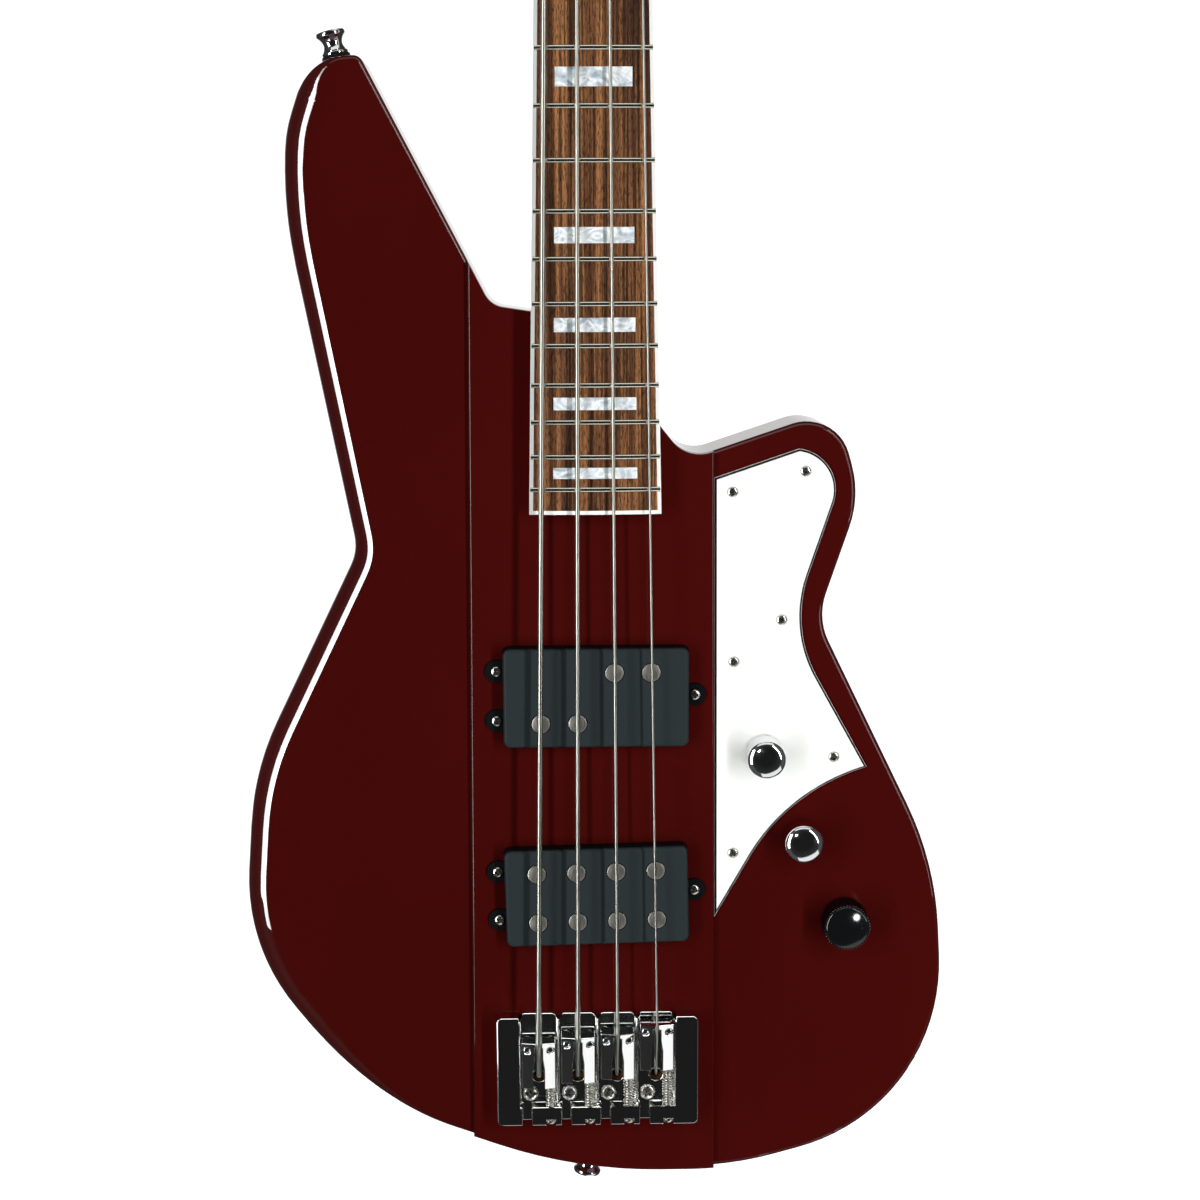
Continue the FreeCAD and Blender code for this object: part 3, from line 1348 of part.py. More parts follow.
def build_controls():
    """Potentiometers hang from the roof of the cavity; each turns with its shaft and knob."""
    pots, nuts = [], []
    for knob in KNOBS:
        x, y = getattr(dim, f"{knob}_x"), getattr(dim, f"{knob}_y")
        surface = guard_top if knob == "volume" else dim.wing_thickness
        can = cylinder((x, y, cavity_top - dim.pot_height), dim.pot_radius, dim.pot_height)
        bushing_top = surface + dim.pot_bushing_above
        bushing = cylinder((x, y, cavity_top), dim.pot_bushing_radius, bushing_top - cavity_top)
        shaft_low = cavity_top - dim.pot_height + dim.pot_floor
        bore = cylinder((x, y, shaft_low), dim.pot_shaft_radius + dim.fit_gap, bushing_top - shaft_low)
        pots.append(cut(fuse(can, bushing), bore))
        reach = dim.pot_nut_width / 2 / math.cos(math.pi / 6)
        corners = [math.pi / 3 * number for number in range(6)]
        ring = [(x + reach * math.cos(angle), y + reach * math.sin(angle)) for angle in corners]
        hexagon = prism(polygon_edges(ring), surface, dim.pot_nut_height)
        thread = dim.pot_bushing_radius + dim.fit_gap
        nuts.append(cut(hexagon, cylinder((x, y, surface), thread, dim.pot_nut_height)))
        knob_low = surface + dim.knob_gap
        knob_top = knob_low + dim.knob_height
        shaft_top = knob_top - dim.knob_top_wall
        node(f"{knob}_shaft", cylinder((x, y, shaft_low + dim.part_gap), dim.pot_shaft_radius,
                                       shaft_top - shaft_low - dim.part_gap))
        radius = dim.contour_knob_radius if knob == "contour" else dim.dome_knob_radius
        build_knob(knob, x, y, knob_low, radius)
    node("potentiometers", group(*pots))
    node("pot_nuts", group(*nuts))


def knob_inside(low, x, y):
    """The recess over the nut and the bore for the shaft, as tools to cut."""
    recess = cylinder((x, y, low), dim.knob_recess_radius, dim.knob_recess_height)
    bore_height = dim.knob_height - dim.knob_top_wall + dim.fit_gap
    return recess, cylinder((x, y, low), dim.pot_shaft_radius + dim.press_gap, bore_height)


def dome_profile(outer, tall, shoulder_radius, dome_radius):
    """Half a section: an upright wall, a round shoulder and a shallow dome, each tangent to the next."""
    across = outer - shoulder_radius
    rise = math.sqrt((dome_radius - shoulder_radius) ** 2 - across ** 2)
    dome_centre = tall - dome_radius
    shoulder = dome_centre + rise
    lean = math.atan2(across, rise)
    bend = (math.pi / 2 + lean) / 2
    wall_top = Vector(outer, shoulder, 0)
    bulge = Vector(across + shoulder_radius * math.sin(bend), shoulder + shoulder_radius * math.cos(bend), 0)
    meet = Vector(dome_radius * math.sin(lean), dome_centre + dome_radius * math.cos(lean), 0)
    crown = Vector(dome_radius * math.sin(lean / 2), dome_centre + dome_radius * math.cos(lean / 2), 0)
    peak, axis_foot, wall_foot = Vector(0, tall, 0), Vector(0, 0, 0), Vector(outer, 0, 0)
    return [Part.LineSegment(axis_foot, wall_foot), Part.LineSegment(wall_foot, wall_top),
            Part.Arc(wall_top, bulge, meet), Part.Arc(meet, crown, peak), Part.LineSegment(peak, axis_foot)]


def build_knob(knob, x, y, low, radius):
    """A hollow knob: two are smooth domes, and the black one has teeth up to a low cap."""
    outer, tall = float(radius), float(dim.knob_height)
    if knob != "contour":
        profile = dome_profile(outer, tall, float(dim.dome_shoulder), float(dim.dome_radius))
        solid = turned(profile, (x, y, low))
    else:
        tooth = float(dim.skirt_tooth)
        profile = dome_profile(outer - tooth, tall, float(dim.cap_shoulder), float(dim.cap_radius))
        rim = []
        for index in range(SKIRT_TEETH * 2):
            angle = math.pi * index / SKIRT_TEETH
            reach = outer - tooth * (index % 2)
            rim.append((x + reach * math.cos(angle), y + reach * math.sin(angle)))
        wall_height = profile[1].EndPoint.y
        solid = fuse(turned(profile, (x, y, low)), prism(polygon_edges(rim), low, wall_height))
    node(f"{knob}_knob", cut(solid, *knob_inside(low, x, y)))


def build_cover():
    """The control cover: a flush sheet screwed into the back."""
    lip = dim.cover_lip - dim.part_gap
    holes, screws = [], []
    for x, y in cover_screw_places():
        holes.append(cylinder((x, y, 0), dim.wood_screw_radius + dim.fit_gap, dim.cover_thickness))
        holes.append(cylinder((x, y, 0), dim.wood_screw_head + dim.fit_gap, dim.wood_screw_head_height))
        sunk = dim.cover_screw_sunk
        shank = dim.wood_screw_length - dim.free_gap - sunk
        screws.append(fuse(cylinder((x, y, sunk), dim.wood_screw_head, dim.wood_screw_head_height - sunk),
                           cylinder((x, y, sunk), dim.wood_screw_radius, shank)))
    node("control_cover", cut(cavity_solid(lip, 0, dim.cover_thickness), *holes))
    node("control_cover_screws", group(*screws))


def build_buttons():
    """Strap buttons with felt washers, each held by one long screw."""
    buttons, felts, screws = [], [], []
    for point, out in BUTTONS:
        seat = at_side(point, out, 0)
        washer = cylinder(seat, dim.button_radius, dim.button_felt, out)
        bore = dim.button_screw_radius + dim.fit_gap
        felts.append(cut(washer, cylinder(seat, bore, dim.button_felt, out)))
        base = at_side(point, out, dim.button_felt)
        wide, waist, tall = dim.button_radius, dim.button_waist, dim.button_length
        sink, head_seat = dim.button_screw_head + dim.part_gap / 2, tall - dim.button_sink
        profile = [(bore, 0), (dim.button_foot_radius, 0), (dim.button_foot_radius, dim.button_foot_height),
                   (waist, dim.button_foot_height * 2), (waist, tall - dim.button_rim_height * 2),
                   (wide, tall - dim.button_rim_height), (wide, tall - dim.button_chamfer),
                   (wide - dim.button_chamfer, tall), (sink, tall), (sink, head_seat), (bore, head_seat)]
        buttons.append(turned(polygon_edges(profile), base, out))
        head_at = at_side(point, out, dim.button_felt + head_seat)
        shank = dim.button_screw_length + dim.button_felt + head_seat - dim.free_gap
        screws.append(screw(head_at, dim.button_screw_head, dim.button_screw_head_height,
                            dim.button_screw_radius, shank, out * -1))
    node("strap_buttons", group(*buttons))
    node("strap_felts", group(*felts))
    node("strap_button_screws", group(*screws))


def build_jack():
    """A turned cup sunk in the side, with the socket's barrel behind it."""
    rim, depth = dim.jack_cup_radius, dim.jack_cup_depth
    barrel, nose, length = dim.jack_barrel_radius - dim.part_gap, dim.jack_nose_radius, dim.jack_length
    hole = nose + dim.part_gap / 2
    cup = [(hole, 0), (rim, 0), (rim, depth), (rim - dim.jack_cup_lip, depth),
           (dim.jack_barrel_radius, dim.jack_cup_floor), (hole, dim.jack_cup_floor)]
    node("jack_cup", turned(polygon_edges(cup), at_side(JACK_POINT, JACK_OUT, -depth), JACK_OUT))
    nose_end = length + dim.jack_nose_length
    socket = [(dim.jack_bore, 0), (barrel, 0), (barrel, length), (nose, length), (nose, nose_end),
              (dim.jack_bore, nose_end)]
    socket_start = at_side(JACK_POINT, JACK_OUT, -depth - length)
    node("jack_socket", turned(polygon_edges(socket), socket_start, JACK_OUT))


def build_tuners():
    """Sealed worm tuners: the key turns a worm in the housing, and the post turns a twentieth as fast."""
    along, out = tuner_directions()
    sideways = Rotation(out, along * -1, UP, "XYZ")
    housings, bushings, screws = [], [], []
    half_length, half_width = dim.tuner_housing_length / 2, dim.tuner_housing_width / 2
    for index, letter in enumerate(STRINGS):
        x, y = tuner_places()[index]
        post_bore = dim.tuner_post_radius + dim.fit_gap
        post_low = housing_bottom + dim.tuner_housing_floor
        worm = Vector(x, y, 0) + along * float(dim.tuner_worm_offset)
        plan = rounded_rectangle(half_width, half_length, dim.tuner_housing_corner,
                                 0, -dim.tuner_housing_shift)
        case = prism(plan, 0, dim.tuner_housing_height)
        doc.recompute()
        case = fillet(case, top_edges(case, 0, lambda point: dim.tuner_housing_round))
        place(case, (x, y, housing_bottom), sideways)
        boss = cylinder((worm.x, worm.y, worm_height), dim.tuner_boss_radius,
                        half_width + dim.tuner_boss_length, out)
        key_bore_start = worm + out * float(dim.tuner_key_seat)
        key_bore = cylinder((key_bore_start.x, key_bore_start.y, worm_height),
                            dim.tuner_shaft_radius + dim.fit_gap, dim.tuner_housing_width, out)
        screw_x, screw_y = tuner_screw_places()[index]
        through = cylinder((screw_x, screw_y, housing_bottom), dim.wood_screw_radius + dim.fit_gap,
                           dim.tuner_housing_height)
        seat = housing_top - dim.tuner_screw_flange
        sink = cylinder((screw_x, screw_y, housing_bottom), dim.wood_screw_head + dim.part_gap,
                        seat - housing_bottom)
        housings.append(cut(fuse(case, boss), cylinder((x, y, post_low), post_bore, dim.tuner_housing_height),
                            key_bore, through, sink))
        shank = dim.wood_screw_length + dim.tuner_screw_flange - dim.free_gap
        screws.append(screw((screw_x, screw_y, seat), dim.wood_screw_head, dim.wood_screw_head_height,
                            dim.wood_screw_radius, shank, UP))
        sleeve = cylinder((x, y, head_bottom + dim.free_gap), dim.tuner_bushing_radius,
                          dim.head_thickness - dim.free_gap)
        flange = cylinder((x, y, head_top), dim.tuner_flange_radius, dim.tuner_flange_height)
        passage = cylinder((x, y, head_bottom), post_bore, flange_top - head_bottom)
        bushings.append(cut(fuse(sleeve, flange), passage))
        build_post(letter, index, x, y, post_low + dim.part_gap)
        build_key(letter, key_bore_start, out, sideways)
    node("tuner_housings", group(*housings))
    node("tuner_bushings", group(*bushings))
    node("tuner_screws", group(*screws))


def build_post(letter, index, x, y, low):
    """A turned post with a slot across its top for the string's end."""
    radius = float(dim.tuner_post_radius)
    tall = float(flange_top + dim.tuner_post_height - low)
    lip, bevel = float(dim.post_lip), float(dim.post_bevel)
    lip_low = tall - float(dim.post_cap_height)
    wide = radius + lip
    profile = [(0, 0), (radius, 0), (radius, lip_low), (wide, lip_low + bevel), (wide, tall - bevel),
               (wide - bevel, tall), (0, tall)]
    post = turned(polygon_edges(profile), (x, y, low))
    slot_low = low + tall - dim.tuner_slot_depth
    end_point, _ = winding_point(index)(WRAPS[index])
    slot = box((0, 0, 0), (radius * 4, dim.tuner_slot_width, dim.tuner_slot_depth))
    facing = Rotation(UP, math.degrees(math.atan2(end_point.y - y, end_point.x - x)))
    shift = facing.multVec(Vector(-radius * 2, -float(dim.tuner_slot_width) / 2, 0))
    place(slot, (x + shift.x, y + shift.y, slot_low), facing)
    hole = cylinder((x, y, slot_low - dim.post_hole_depth), dim.post_hole_radius, dim.post_hole_depth)
    node(f"tuner_post_{letter}", cut(post, slot, hole))


def build_key(letter, start, out, sideways):
    """The key's shaft runs in the housing; its oval paddle is outside the headstock's edge."""
    shaft_start = start + out * float(dim.part_gap)
    near = dim.tuner_key_start - dim.tuner_key_seat
    shoulder, far = near + dim.key_shoulder, near + dim.tuner_key_length
    shaft = cylinder((shaft_start.x, shaft_start.y, worm_height), dim.tuner_shaft_radius,
                     shoulder - dim.part_gap, out)
    half_neck, half_width = dim.key_neck_width / 2, dim.tuner_key_width / 2
    half_thick = dim.tuner_key_thickness / 2
    inner, outer, small = dim.key_inner_corner, dim.key_outer_corner, dim.key_neck_corner
    shape = [(near, -half_neck, small), (shoulder, -half_width, inner), (far, -half_width, outer),
             (far, half_width, outer), (shoulder, half_width, inner), (near, half_neck, small)]
    paddle = prism(outline_edges(shape), -half_thick, dim.tuner_key_thickness)
    doc.recompute()
    rims = [top_edges(paddle, level, lambda point: dim.key_edge_round) for level in (half_thick, -half_thick)]
    paddle = fillet(paddle, *rims)
    place(paddle, (start.x, start.y, worm_height), sideways)
    node(f"tuner_key_{letter}", fuse(shaft, paddle))


build_body()
build_neck()
build_fingerboard()
build_nut()
build_guard()
foam_pads, pickup_screw_sets = zip(*(build_pickup(name, *facts) for name, facts in PICKUPS.items()))
node("pickup_foam", group(*foam_pads))
node("pickup_screws", group(*pickup_screw_sets))
build_bridge()
build_saddles()
build_strings()
build_controls()
build_cover()
build_buttons()
build_jack()
build_tuners()
doc.recompute()

for thing in doc.Objects:
    if "Invalid" in thing.State or "Error" in thing.State:
        raise RuntimeError(f"{thing.Name} ({thing.Label}) failed: {thing.State}")
for thing in NODES:
    if thing.Shape.isNull() or not thing.Shape.isValid() or not thing.Shape.Solids:
        raise RuntimeError(f"{thing.Label} has no valid solid")

os.makedirs("parts", exist_ok=True)
for thing in NODES:
    thing.Shape.exportStep(f"parts/{thing.Label}.step")
print(len(NODES), "nodes,", sum(len(thing.Shape.Solids) for thing in NODES), "solids")
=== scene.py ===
import json
import math
import bpy
from mathutils import Matrix, Vector


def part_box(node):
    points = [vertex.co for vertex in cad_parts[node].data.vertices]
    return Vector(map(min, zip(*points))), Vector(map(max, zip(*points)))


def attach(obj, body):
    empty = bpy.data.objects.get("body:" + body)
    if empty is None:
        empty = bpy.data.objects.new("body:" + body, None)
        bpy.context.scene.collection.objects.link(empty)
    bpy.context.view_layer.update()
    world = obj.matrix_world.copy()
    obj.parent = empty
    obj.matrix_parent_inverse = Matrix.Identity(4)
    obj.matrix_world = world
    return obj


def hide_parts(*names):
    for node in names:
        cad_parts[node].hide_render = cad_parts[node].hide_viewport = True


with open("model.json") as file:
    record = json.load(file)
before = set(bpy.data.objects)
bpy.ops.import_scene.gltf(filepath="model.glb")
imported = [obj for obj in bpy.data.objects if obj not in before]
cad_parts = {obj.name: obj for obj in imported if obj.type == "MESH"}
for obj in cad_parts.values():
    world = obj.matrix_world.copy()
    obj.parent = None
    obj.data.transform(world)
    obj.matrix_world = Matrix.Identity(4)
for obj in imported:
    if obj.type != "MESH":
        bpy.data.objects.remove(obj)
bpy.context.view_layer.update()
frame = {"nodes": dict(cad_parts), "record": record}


# Studio: the bass lies on a white table before a white backdrop, between two long lamps that throw the
# bands of shadow beside the strings. Bright cards stand where polished edges and domes mirror them,
# and what else they mirror is dark.
scene = bpy.context.scene
scene.view_settings.view_transform = "Standard"
bpy.ops.object.select_all(action="DESELECT")
table_size, table_middle, table_drop = 8, 0.35, 0.001
bpy.ops.mesh.primitive_plane_add(size=table_size, location=(0, table_middle, -table_drop))
floor = bpy.context.object
floor.name = "studio_table"
table_white = bpy.data.materials.new("table_white")
table_white.use_nodes = True
table_shader = table_white.node_tree.nodes["Principled BSDF"]
table_shader.inputs["Base Color"].default_value = (0.3, 0.3, 0.31, 1)
table_shader.inputs["Roughness"].default_value = 0.9
table_shader.inputs["Emission Color"].default_value = (1, 1, 1, 1)
table_shader.inputs["Emission Strength"].default_value = 1.0
floor.data.materials.append(table_white)
floor.visible_glossy = False

scene.world = bpy.data.worlds.new("studio_room")
scene.world.use_nodes = True
room_nodes, room_links = scene.world.node_tree.nodes, scene.world.node_tree.links
heading = room_nodes.new("ShaderNodeTexCoord")
heading_axes = room_nodes.new("ShaderNodeSeparateXYZ")
heading_level = room_nodes.new("ShaderNodeMapRange")
heading_level.inputs["From Min"].default_value = -1
room_light = room_nodes.new("ShaderNodeValToRGB")
room_greys = ((0.0, 1.0), (0.04, 0.9), (0.1, 0.04), (0.5, 0.04), (0.66, 0.1), (0.75, 0.1), (0.84, 0.035),
              (0.95, 0.014))
while len(room_light.color_ramp.elements) < len(room_greys):
    room_light.color_ramp.elements.new(0.5)
for element, (height, grey) in zip(room_light.color_ramp.elements, room_greys):
    element.position = height
    element.color = (grey, grey, grey, 1)
room_links.new(heading.outputs["Generated"], heading_axes.inputs["Vector"])
room_links.new(heading_axes.outputs["Z"], heading_level.inputs["Value"])
room_links.new(heading_level.outputs["Result"], room_light.inputs["Fac"])
backdrop = room_nodes.new("ShaderNodeMix")
backdrop.data_type = "RGBA"
backdrop.inputs["B"].default_value = (1, 1, 1, 1)
seen_straight = room_nodes.new("ShaderNodeLightPath")
room_links.new(seen_straight.outputs["Is Camera Ray"], backdrop.inputs["Factor"])
room_links.new(room_light.outputs["Color"], backdrop.inputs["A"])
room_links.new(backdrop.outputs["Result"], room_nodes["Background"].inputs["Color"])

# Each lamp or card: degrees round from the treble side, degrees from upright, distance from the aim,
# width and length in metres, and power in watts.
aim = Vector((0, 0.16, 0.045))
lamps = (
    ("treble_lamp", 0, 37, 1.5, 0.12, 1.9, 25),
    ("bass_lamp", 180, 44, 1.5, 0.4, 1.9, 17),
    ("top_lamp", 115, 28, 1.8, 1.2, 1.5, 5),
)
cards = (
    ("bass_edge_card", 168.4, 54.5, 1.52, 0.56, 1.84, 45),
    ("treble_edge_card", 18, 61.3, 1.56, 0.22, 1.75, 13.5),
    ("bass_card", 180, 52, 1.7, 0.42, 1.7, 31),
    ("treble_card", 20.6, 46.3, 1.61, 0.16, 1.5, 10.6),
    ("tail_card", 293, 67, 1.8, 1.05, 1.9, 6.2),
    ("head_card", 90, 68, 1.9, 1.0, 2.4, 7),
    ("bridge_card", 90, 62, 1.7, 0.7, 2.0, 30),
    ("saddle_card", 305, 45.6, 1.9, 0.4, 0.55, 0.85),
    ("dome_card", 135.7, 22.1, 1.35, 0.18, 0.18, 5),
    ("ribbed_card", 351.7, 26.8, 1.41, 0.26, 0.26, 5),
)
for name, around, from_upright, distance, width, length, power in lamps + cards:
    lamp_data = bpy.data.lights.new(name, "AREA")
    lamp_data.shape = "ELLIPSE" if width == length else "RECTANGLE"
    lamp_data.size = width
    lamp_data.size_y = length
    lamp_data.energy = power
    lamp = bpy.data.objects.new(name, lamp_data)
    scene.collection.objects.link(lamp)
    turned = Matrix.Rotation(math.radians(around), 4, "Z")
    facing = turned @ Matrix.Rotation(math.radians(from_upright), 4, "Y")
    lamp.matrix_world = Matrix.Translation(aim) @ facing @ Matrix.Translation((0, 0, distance))
    mirrored = name.endswith("card")
    lamp.visible_glossy = mirrored
    lamp.visible_diffuse = not mirrored

camera_place = Vector((-0.022718, 0.371898, 1.043602))
camera_tilt, camera_yaw, camera_roll = 0.168, 0.025, 0.004
lens = bpy.data.cameras.new("camera")
lens.sensor_width = 36
lens.lens = 63.765
lens.clip_start = 0.01
camera = bpy.data.objects.new("camera", lens)
scene.collection.objects.link(camera)
to_camera = (Matrix.Rotation(camera_roll, 3, "Z") @ Matrix.Rotation(camera_tilt, 3, "X")
             @ Matrix.Rotation(camera_yaw, 3, "Y"))
camera.matrix_world = Matrix.Translation(camera_place) @ to_camera.transposed().to_4x4()
scene.camera = camera


# Body: solid wood in two wings with a raised centre block, sealed, sprayed oxblood red and lacquered
# with a faint ripple, then buffed, hardest on its rounded edges.
def coat(name, colour, roughness, metallic=0.0, **sockets):
    """A surface finish; further sockets of its shader are named with underscores."""
    material = bpy.data.materials.new(name)
    material.use_nodes = True
    inputs = material.node_tree.nodes["Principled BSDF"].inputs
    inputs["Base Color"].default_value = (*colour, 1)
    inputs["Roughness"].default_value = roughness
    inputs["Metallic"].default_value = metallic
    for socket, value in sockets.items():
        inputs[socket.replace("_", " ")].default_value = value
    return material


def pattern(material, kind, repeats, **sockets):
    """A procedural pattern in the piece's own place, with its repeats per metre along x, y and z."""
    nodes, links = material.node_tree.nodes, material.node_tree.links
    where = nodes.new("ShaderNodeTexCoord")
    mapping = nodes.new("ShaderNodeMapping")
    texture = nodes.new(f"ShaderNodeTex{kind}")
    mapping.inputs["Scale"].default_value = repeats
    links.new(where.outputs["Object"], mapping.inputs["Vector"])
    links.new(mapping.outputs["Vector"], texture.inputs["Vector"])
    texture.inputs["Scale"].default_value = 1
    for socket, value in sockets.items():
        texture.inputs[socket].default_value = value
    return texture.outputs[0]


def tint(material, source, stops, socket="Base Color", steps="LINEAR"):
    """Colours or greys along a pattern, each stop a position and a value, into one socket."""
    nodes, links = material.node_tree.nodes, material.node_tree.links
    ramp = nodes.new("ShaderNodeValToRGB")
    ramp.color_ramp.interpolation = steps
    while len(ramp.color_ramp.elements) < len(stops):
        ramp.color_ramp.elements.new(0.5)
    for element, (position, value) in zip(ramp.color_ramp.elements, stops):
        element.position = position
        element.color = (*value, 1) if isinstance(value, tuple) else (value, value, value, 1)
    links.new(source, ramp.inputs["Fac"])
    if socket:
        links.new(ramp.outputs["Color"], nodes["Principled BSDF"].inputs[socket])
    return ramp.outputs["Color"]


def blend_colours(material, mode, amount, first, second, socket="Base Color"):
    """Mixes two colours, by a fixed amount or by a mask."""
    nodes, links = material.node_tree.nodes, material.node_tree.links
    mix = nodes.new("ShaderNodeMix")
    mix.data_type = "RGBA"
    mix.blend_type = mode
    if isinstance(amount, float):
        mix.inputs["Factor"].default_value = amount
    else:
        links.new(amount, mix.inputs["Factor"])
    links.new(first, mix.inputs["A"])
    links.new(second, mix.inputs["B"])
    if socket:
        links.new(mix.outputs["Result"], nodes["Principled BSDF"].inputs[socket])
    return mix.outputs["Result"]


def emboss(material, source, depth, socket="Normal"):
    """Turns a pattern into relief of some depth in metres."""
    nodes, links = material.node_tree.nodes, material.node_tree.links
    bump = nodes.new("ShaderNodeBump")
    bump.inputs["Distance"].default_value = depth
    links.new(source, bump.inputs["Height"])
    links.new(bump.outputs["Normal"], nodes["Principled BSDF"].inputs[socket])


def within_box(material, centre, size):
    """A mask that is 1 inside a box, as where a drill has gone through the paint."""
    nodes, links = material.node_tree.nodes, material.node_tree.links
    where = nodes.new("ShaderNodeTexCoord")
    apart = nodes.new("ShaderNodeVectorMath")
    apart.operation = "SUBTRACT"
    apart.inputs[1].default_value = centre
    links.new(where.outputs["Object"], apart.inputs[0])
    axes = nodes.new("ShaderNodeSeparateXYZ")
    links.new(apart.outputs["Vector"], axes.inputs["Vector"])
    inside = None
    for axis, wide in zip("XYZ", size):
        near = nodes.new("ShaderNodeMath")
        near.operation = "COMPARE"
        near.inputs[1].default_value = 0.0
        near.inputs[2].default_value = wide / 2
        links.new(axes.outputs[axis], near.inputs[0])
        if inside is not None:
            both = nodes.new("ShaderNodeMath")
            both.operation = "MULTIPLY"
            links.new(inside, both.inputs[0])
            links.new(near.outputs["Value"], both.inputs[1])
            near = both
        inside = near.outputs["Value"]
    return inside


def height_in(material, low, high):
    """A value that climbs from 0 at one height to 1 at another."""
    nodes, links = material.node_tree.nodes, material.node_tree.links
    where = nodes.new("ShaderNodeTexCoord")
    axes = nodes.new("ShaderNodeSeparateXYZ")
    height = nodes.new("ShaderNodeMapRange")
    height.inputs["From Min"].default_value = low
    height.inputs["From Max"].default_value = high
    links.new(where.outputs["Object"], axes.inputs["Vector"])
    links.new(axes.outputs["Z"], height.inputs["Value"])
    return height.outputs["Result"]


same_point = 0.000002


def dress(node, material, eased=0.0, sharp=35, held=True):
    """Gives a CAD piece its finish, smooth round faces and, where wanted, eased edges. Held edges stay
    as narrow as the smallest face allows."""
    piece = frame["nodes"][node]
    piece.data.materials.clear()
    piece.data.materials.append(material)
    piece.data.polygons.foreach_set("use_smooth", [True] * len(piece.data.polygons))
    weld = piece.modifiers.new("weld", "WELD")
    weld.merge_threshold = same_point
    if eased:
        flatten = piece.modifiers.new("flatten", "DECIMATE")
        flatten.decimate_type = "DISSOLVE"
        flatten.angle_limit = math.radians(0.2)
        bevel = piece.modifiers.new("ease", "BEVEL")
        bevel.width = eased
        bevel.segments = 3
        bevel.use_clamp_overlap = held
        bevel.limit_method = "ANGLE"
        bevel.angle_limit = math.radians(sharp)
    split = piece.modifiers.new("crease", "EDGE_SPLIT")
    split.split_angle = math.radians(sharp)
    settle = piece.modifiers.new("settle", "WEIGHTED_NORMAL")
    settle.mode = "FACE_AREA_WITH_ANGLE"
    settle.weight = 50
    return piece


def shine_on(card, *pieces):
    """Lets a card be mirrored by some pieces alone."""
    group = bpy.data.collections.new(card)
    for piece in pieces:
        group.objects.link(piece)
    bpy.data.objects[card].light_linking.receiver_collection = group


oxblood = coat("oxblood_lacquer", (0.044, 0.0027, 0.0022), 0.5, Specular_IOR_Level=0.0, Coat_Weight=1.0,
               Coat_IOR=1.7, Coat_Roughness=0.02)
cloud = pattern(oxblood, "Noise", (9, 5, 9), Detail=4.0)
paint = tint(oxblood, cloud, ((0.3, (0.039, 0.0023, 0.0019)), (0.7, (0.048, 0.003, 0.0024))), None)
raw_grain = pattern(oxblood, "Noise", (700, 700, 60), Detail=4.0)
raw_wood = tint(oxblood, raw_grain, ((0.3, (0.06, 0.024, 0.01)), (0.7, (0.16, 0.07, 0.03))), None)
bore_row, bore_middle = -0.035, 0.026
drilled = (0.07, 0.009, 0.0435)
string_bores = within_box(oxblood, (0, bore_row, bore_middle), drilled)
blend_colours(oxblood, "MIX", string_bores, paint, raw_wood)
ripple = pattern(oxblood, "Noise", (160, 160, 160), Detail=2.0)
emboss(oxblood, ripple, 0.000003, "Coat Normal")
wing_level, ridge_level, below_wing, above_ridge = 0.042, 0.045, 0.001, 0.0005
buffed = height_in(oxblood, wing_level - below_wing, ridge_level + above_ridge)
tint(oxblood, buffed, ((0.05, 1.0), (0.17, 0.14), (0.25, 0.14), (0.33, 0.5), (0.8, 0.5), (0.87, 0.14)),
     "Coat Weight")
dress("body", oxblood)
shine_on("bass_edge_card", frame["nodes"]["body"])
shine_on("treble_edge_card", frame["nodes"]["body"])


# Neck: one length of hard maple, shaped to a rounded back with a square heel and a flat
# headstock, sanded and sealed with a thin satin coat that lets the grain show.
maple = coat("sealed_maple", (0.62, 0.4, 0.2), 0.4, Coat_Weight=0.35, Coat_Roughness=0.25)
growth = pattern(maple, "Noise", (90, 5, 120), Detail=6.0, Distortion=0.6)
grain = tint(maple, growth, ((0.3, (0.5, 0.3, 0.13)), (0.5, (0.64, 0.42, 0.21)),
                             (0.72, (0.72, 0.5, 0.28))), None)
fleck = pattern(maple, "Noise", (900, 45, 900), Detail=3.0)
flecks = tint(maple, fleck, ((0.55, 1.0), (0.75, 0.82)), None)
blend_colours(maple, "MULTIPLY", 0.7, grain, flecks)
emboss(maple, fleck, 0.00001)
dress("neck", maple)


# Fingerboard: a straight-grained brown tropical hardwood with dark streaks and open pores,
# glued to the neck, planed to a round top and slotted for the frets.
rosewood = coat("fingerboard_wood", (0.14, 0.06, 0.028), 0.55, Specular_IOR_Level=0.15)
band = pattern(rosewood, "Noise", (210, 2.5, 210), Detail=5.0, Roughness=0.65, Distortion=0.2)
bands = tint(rosewood, band, ((0.34, (0.03, 0.011, 0.006)), (0.46, (0.11, 0.043, 0.018)),
                              (0.56, (0.25, 0.105, 0.039)), (0.7, (0.42, 0.19, 0.07))), None)
line = pattern(rosewood, "Noise", (1000, 7, 1000), Detail=4.0, Roughness=0.6)
lines = tint(rosewood, line, ((0.4, 0.1), (0.53, 1.0)), None)
lined = blend_colours(rosewood, "MULTIPLY", 0.85, bands, lines, None)
pore = pattern(rosewood, "Noise", (2600, 320, 2600), Detail=2.0)
pores = tint(rosewood, pore, ((0.38, 0.12), (0.5, 1.0)), None)
blend_colours(rosewood, "MULTIPLY", 0.8, lined, pores)
emboss(rosewood, pore, 0.00004)
dress("fingerboard", rosewood)

# Binding: a strip of cream-white plastic glued round the fingerboard's two long edges and its
# end, scraped flush and polished.
binding = coat("white_binding", (0.83, 0.82, 0.78), 0.25, Coat_Weight=0.3, Coat_Roughness=0.1)
binding_age = pattern(binding, "Noise", (60, 30, 200), Detail=4.0)
tint(binding, binding_age, ((0.35, (0.87, 0.87, 0.84)), (0.65, (0.92, 0.92, 0.9))))
dress("fingerboard_binding", binding)

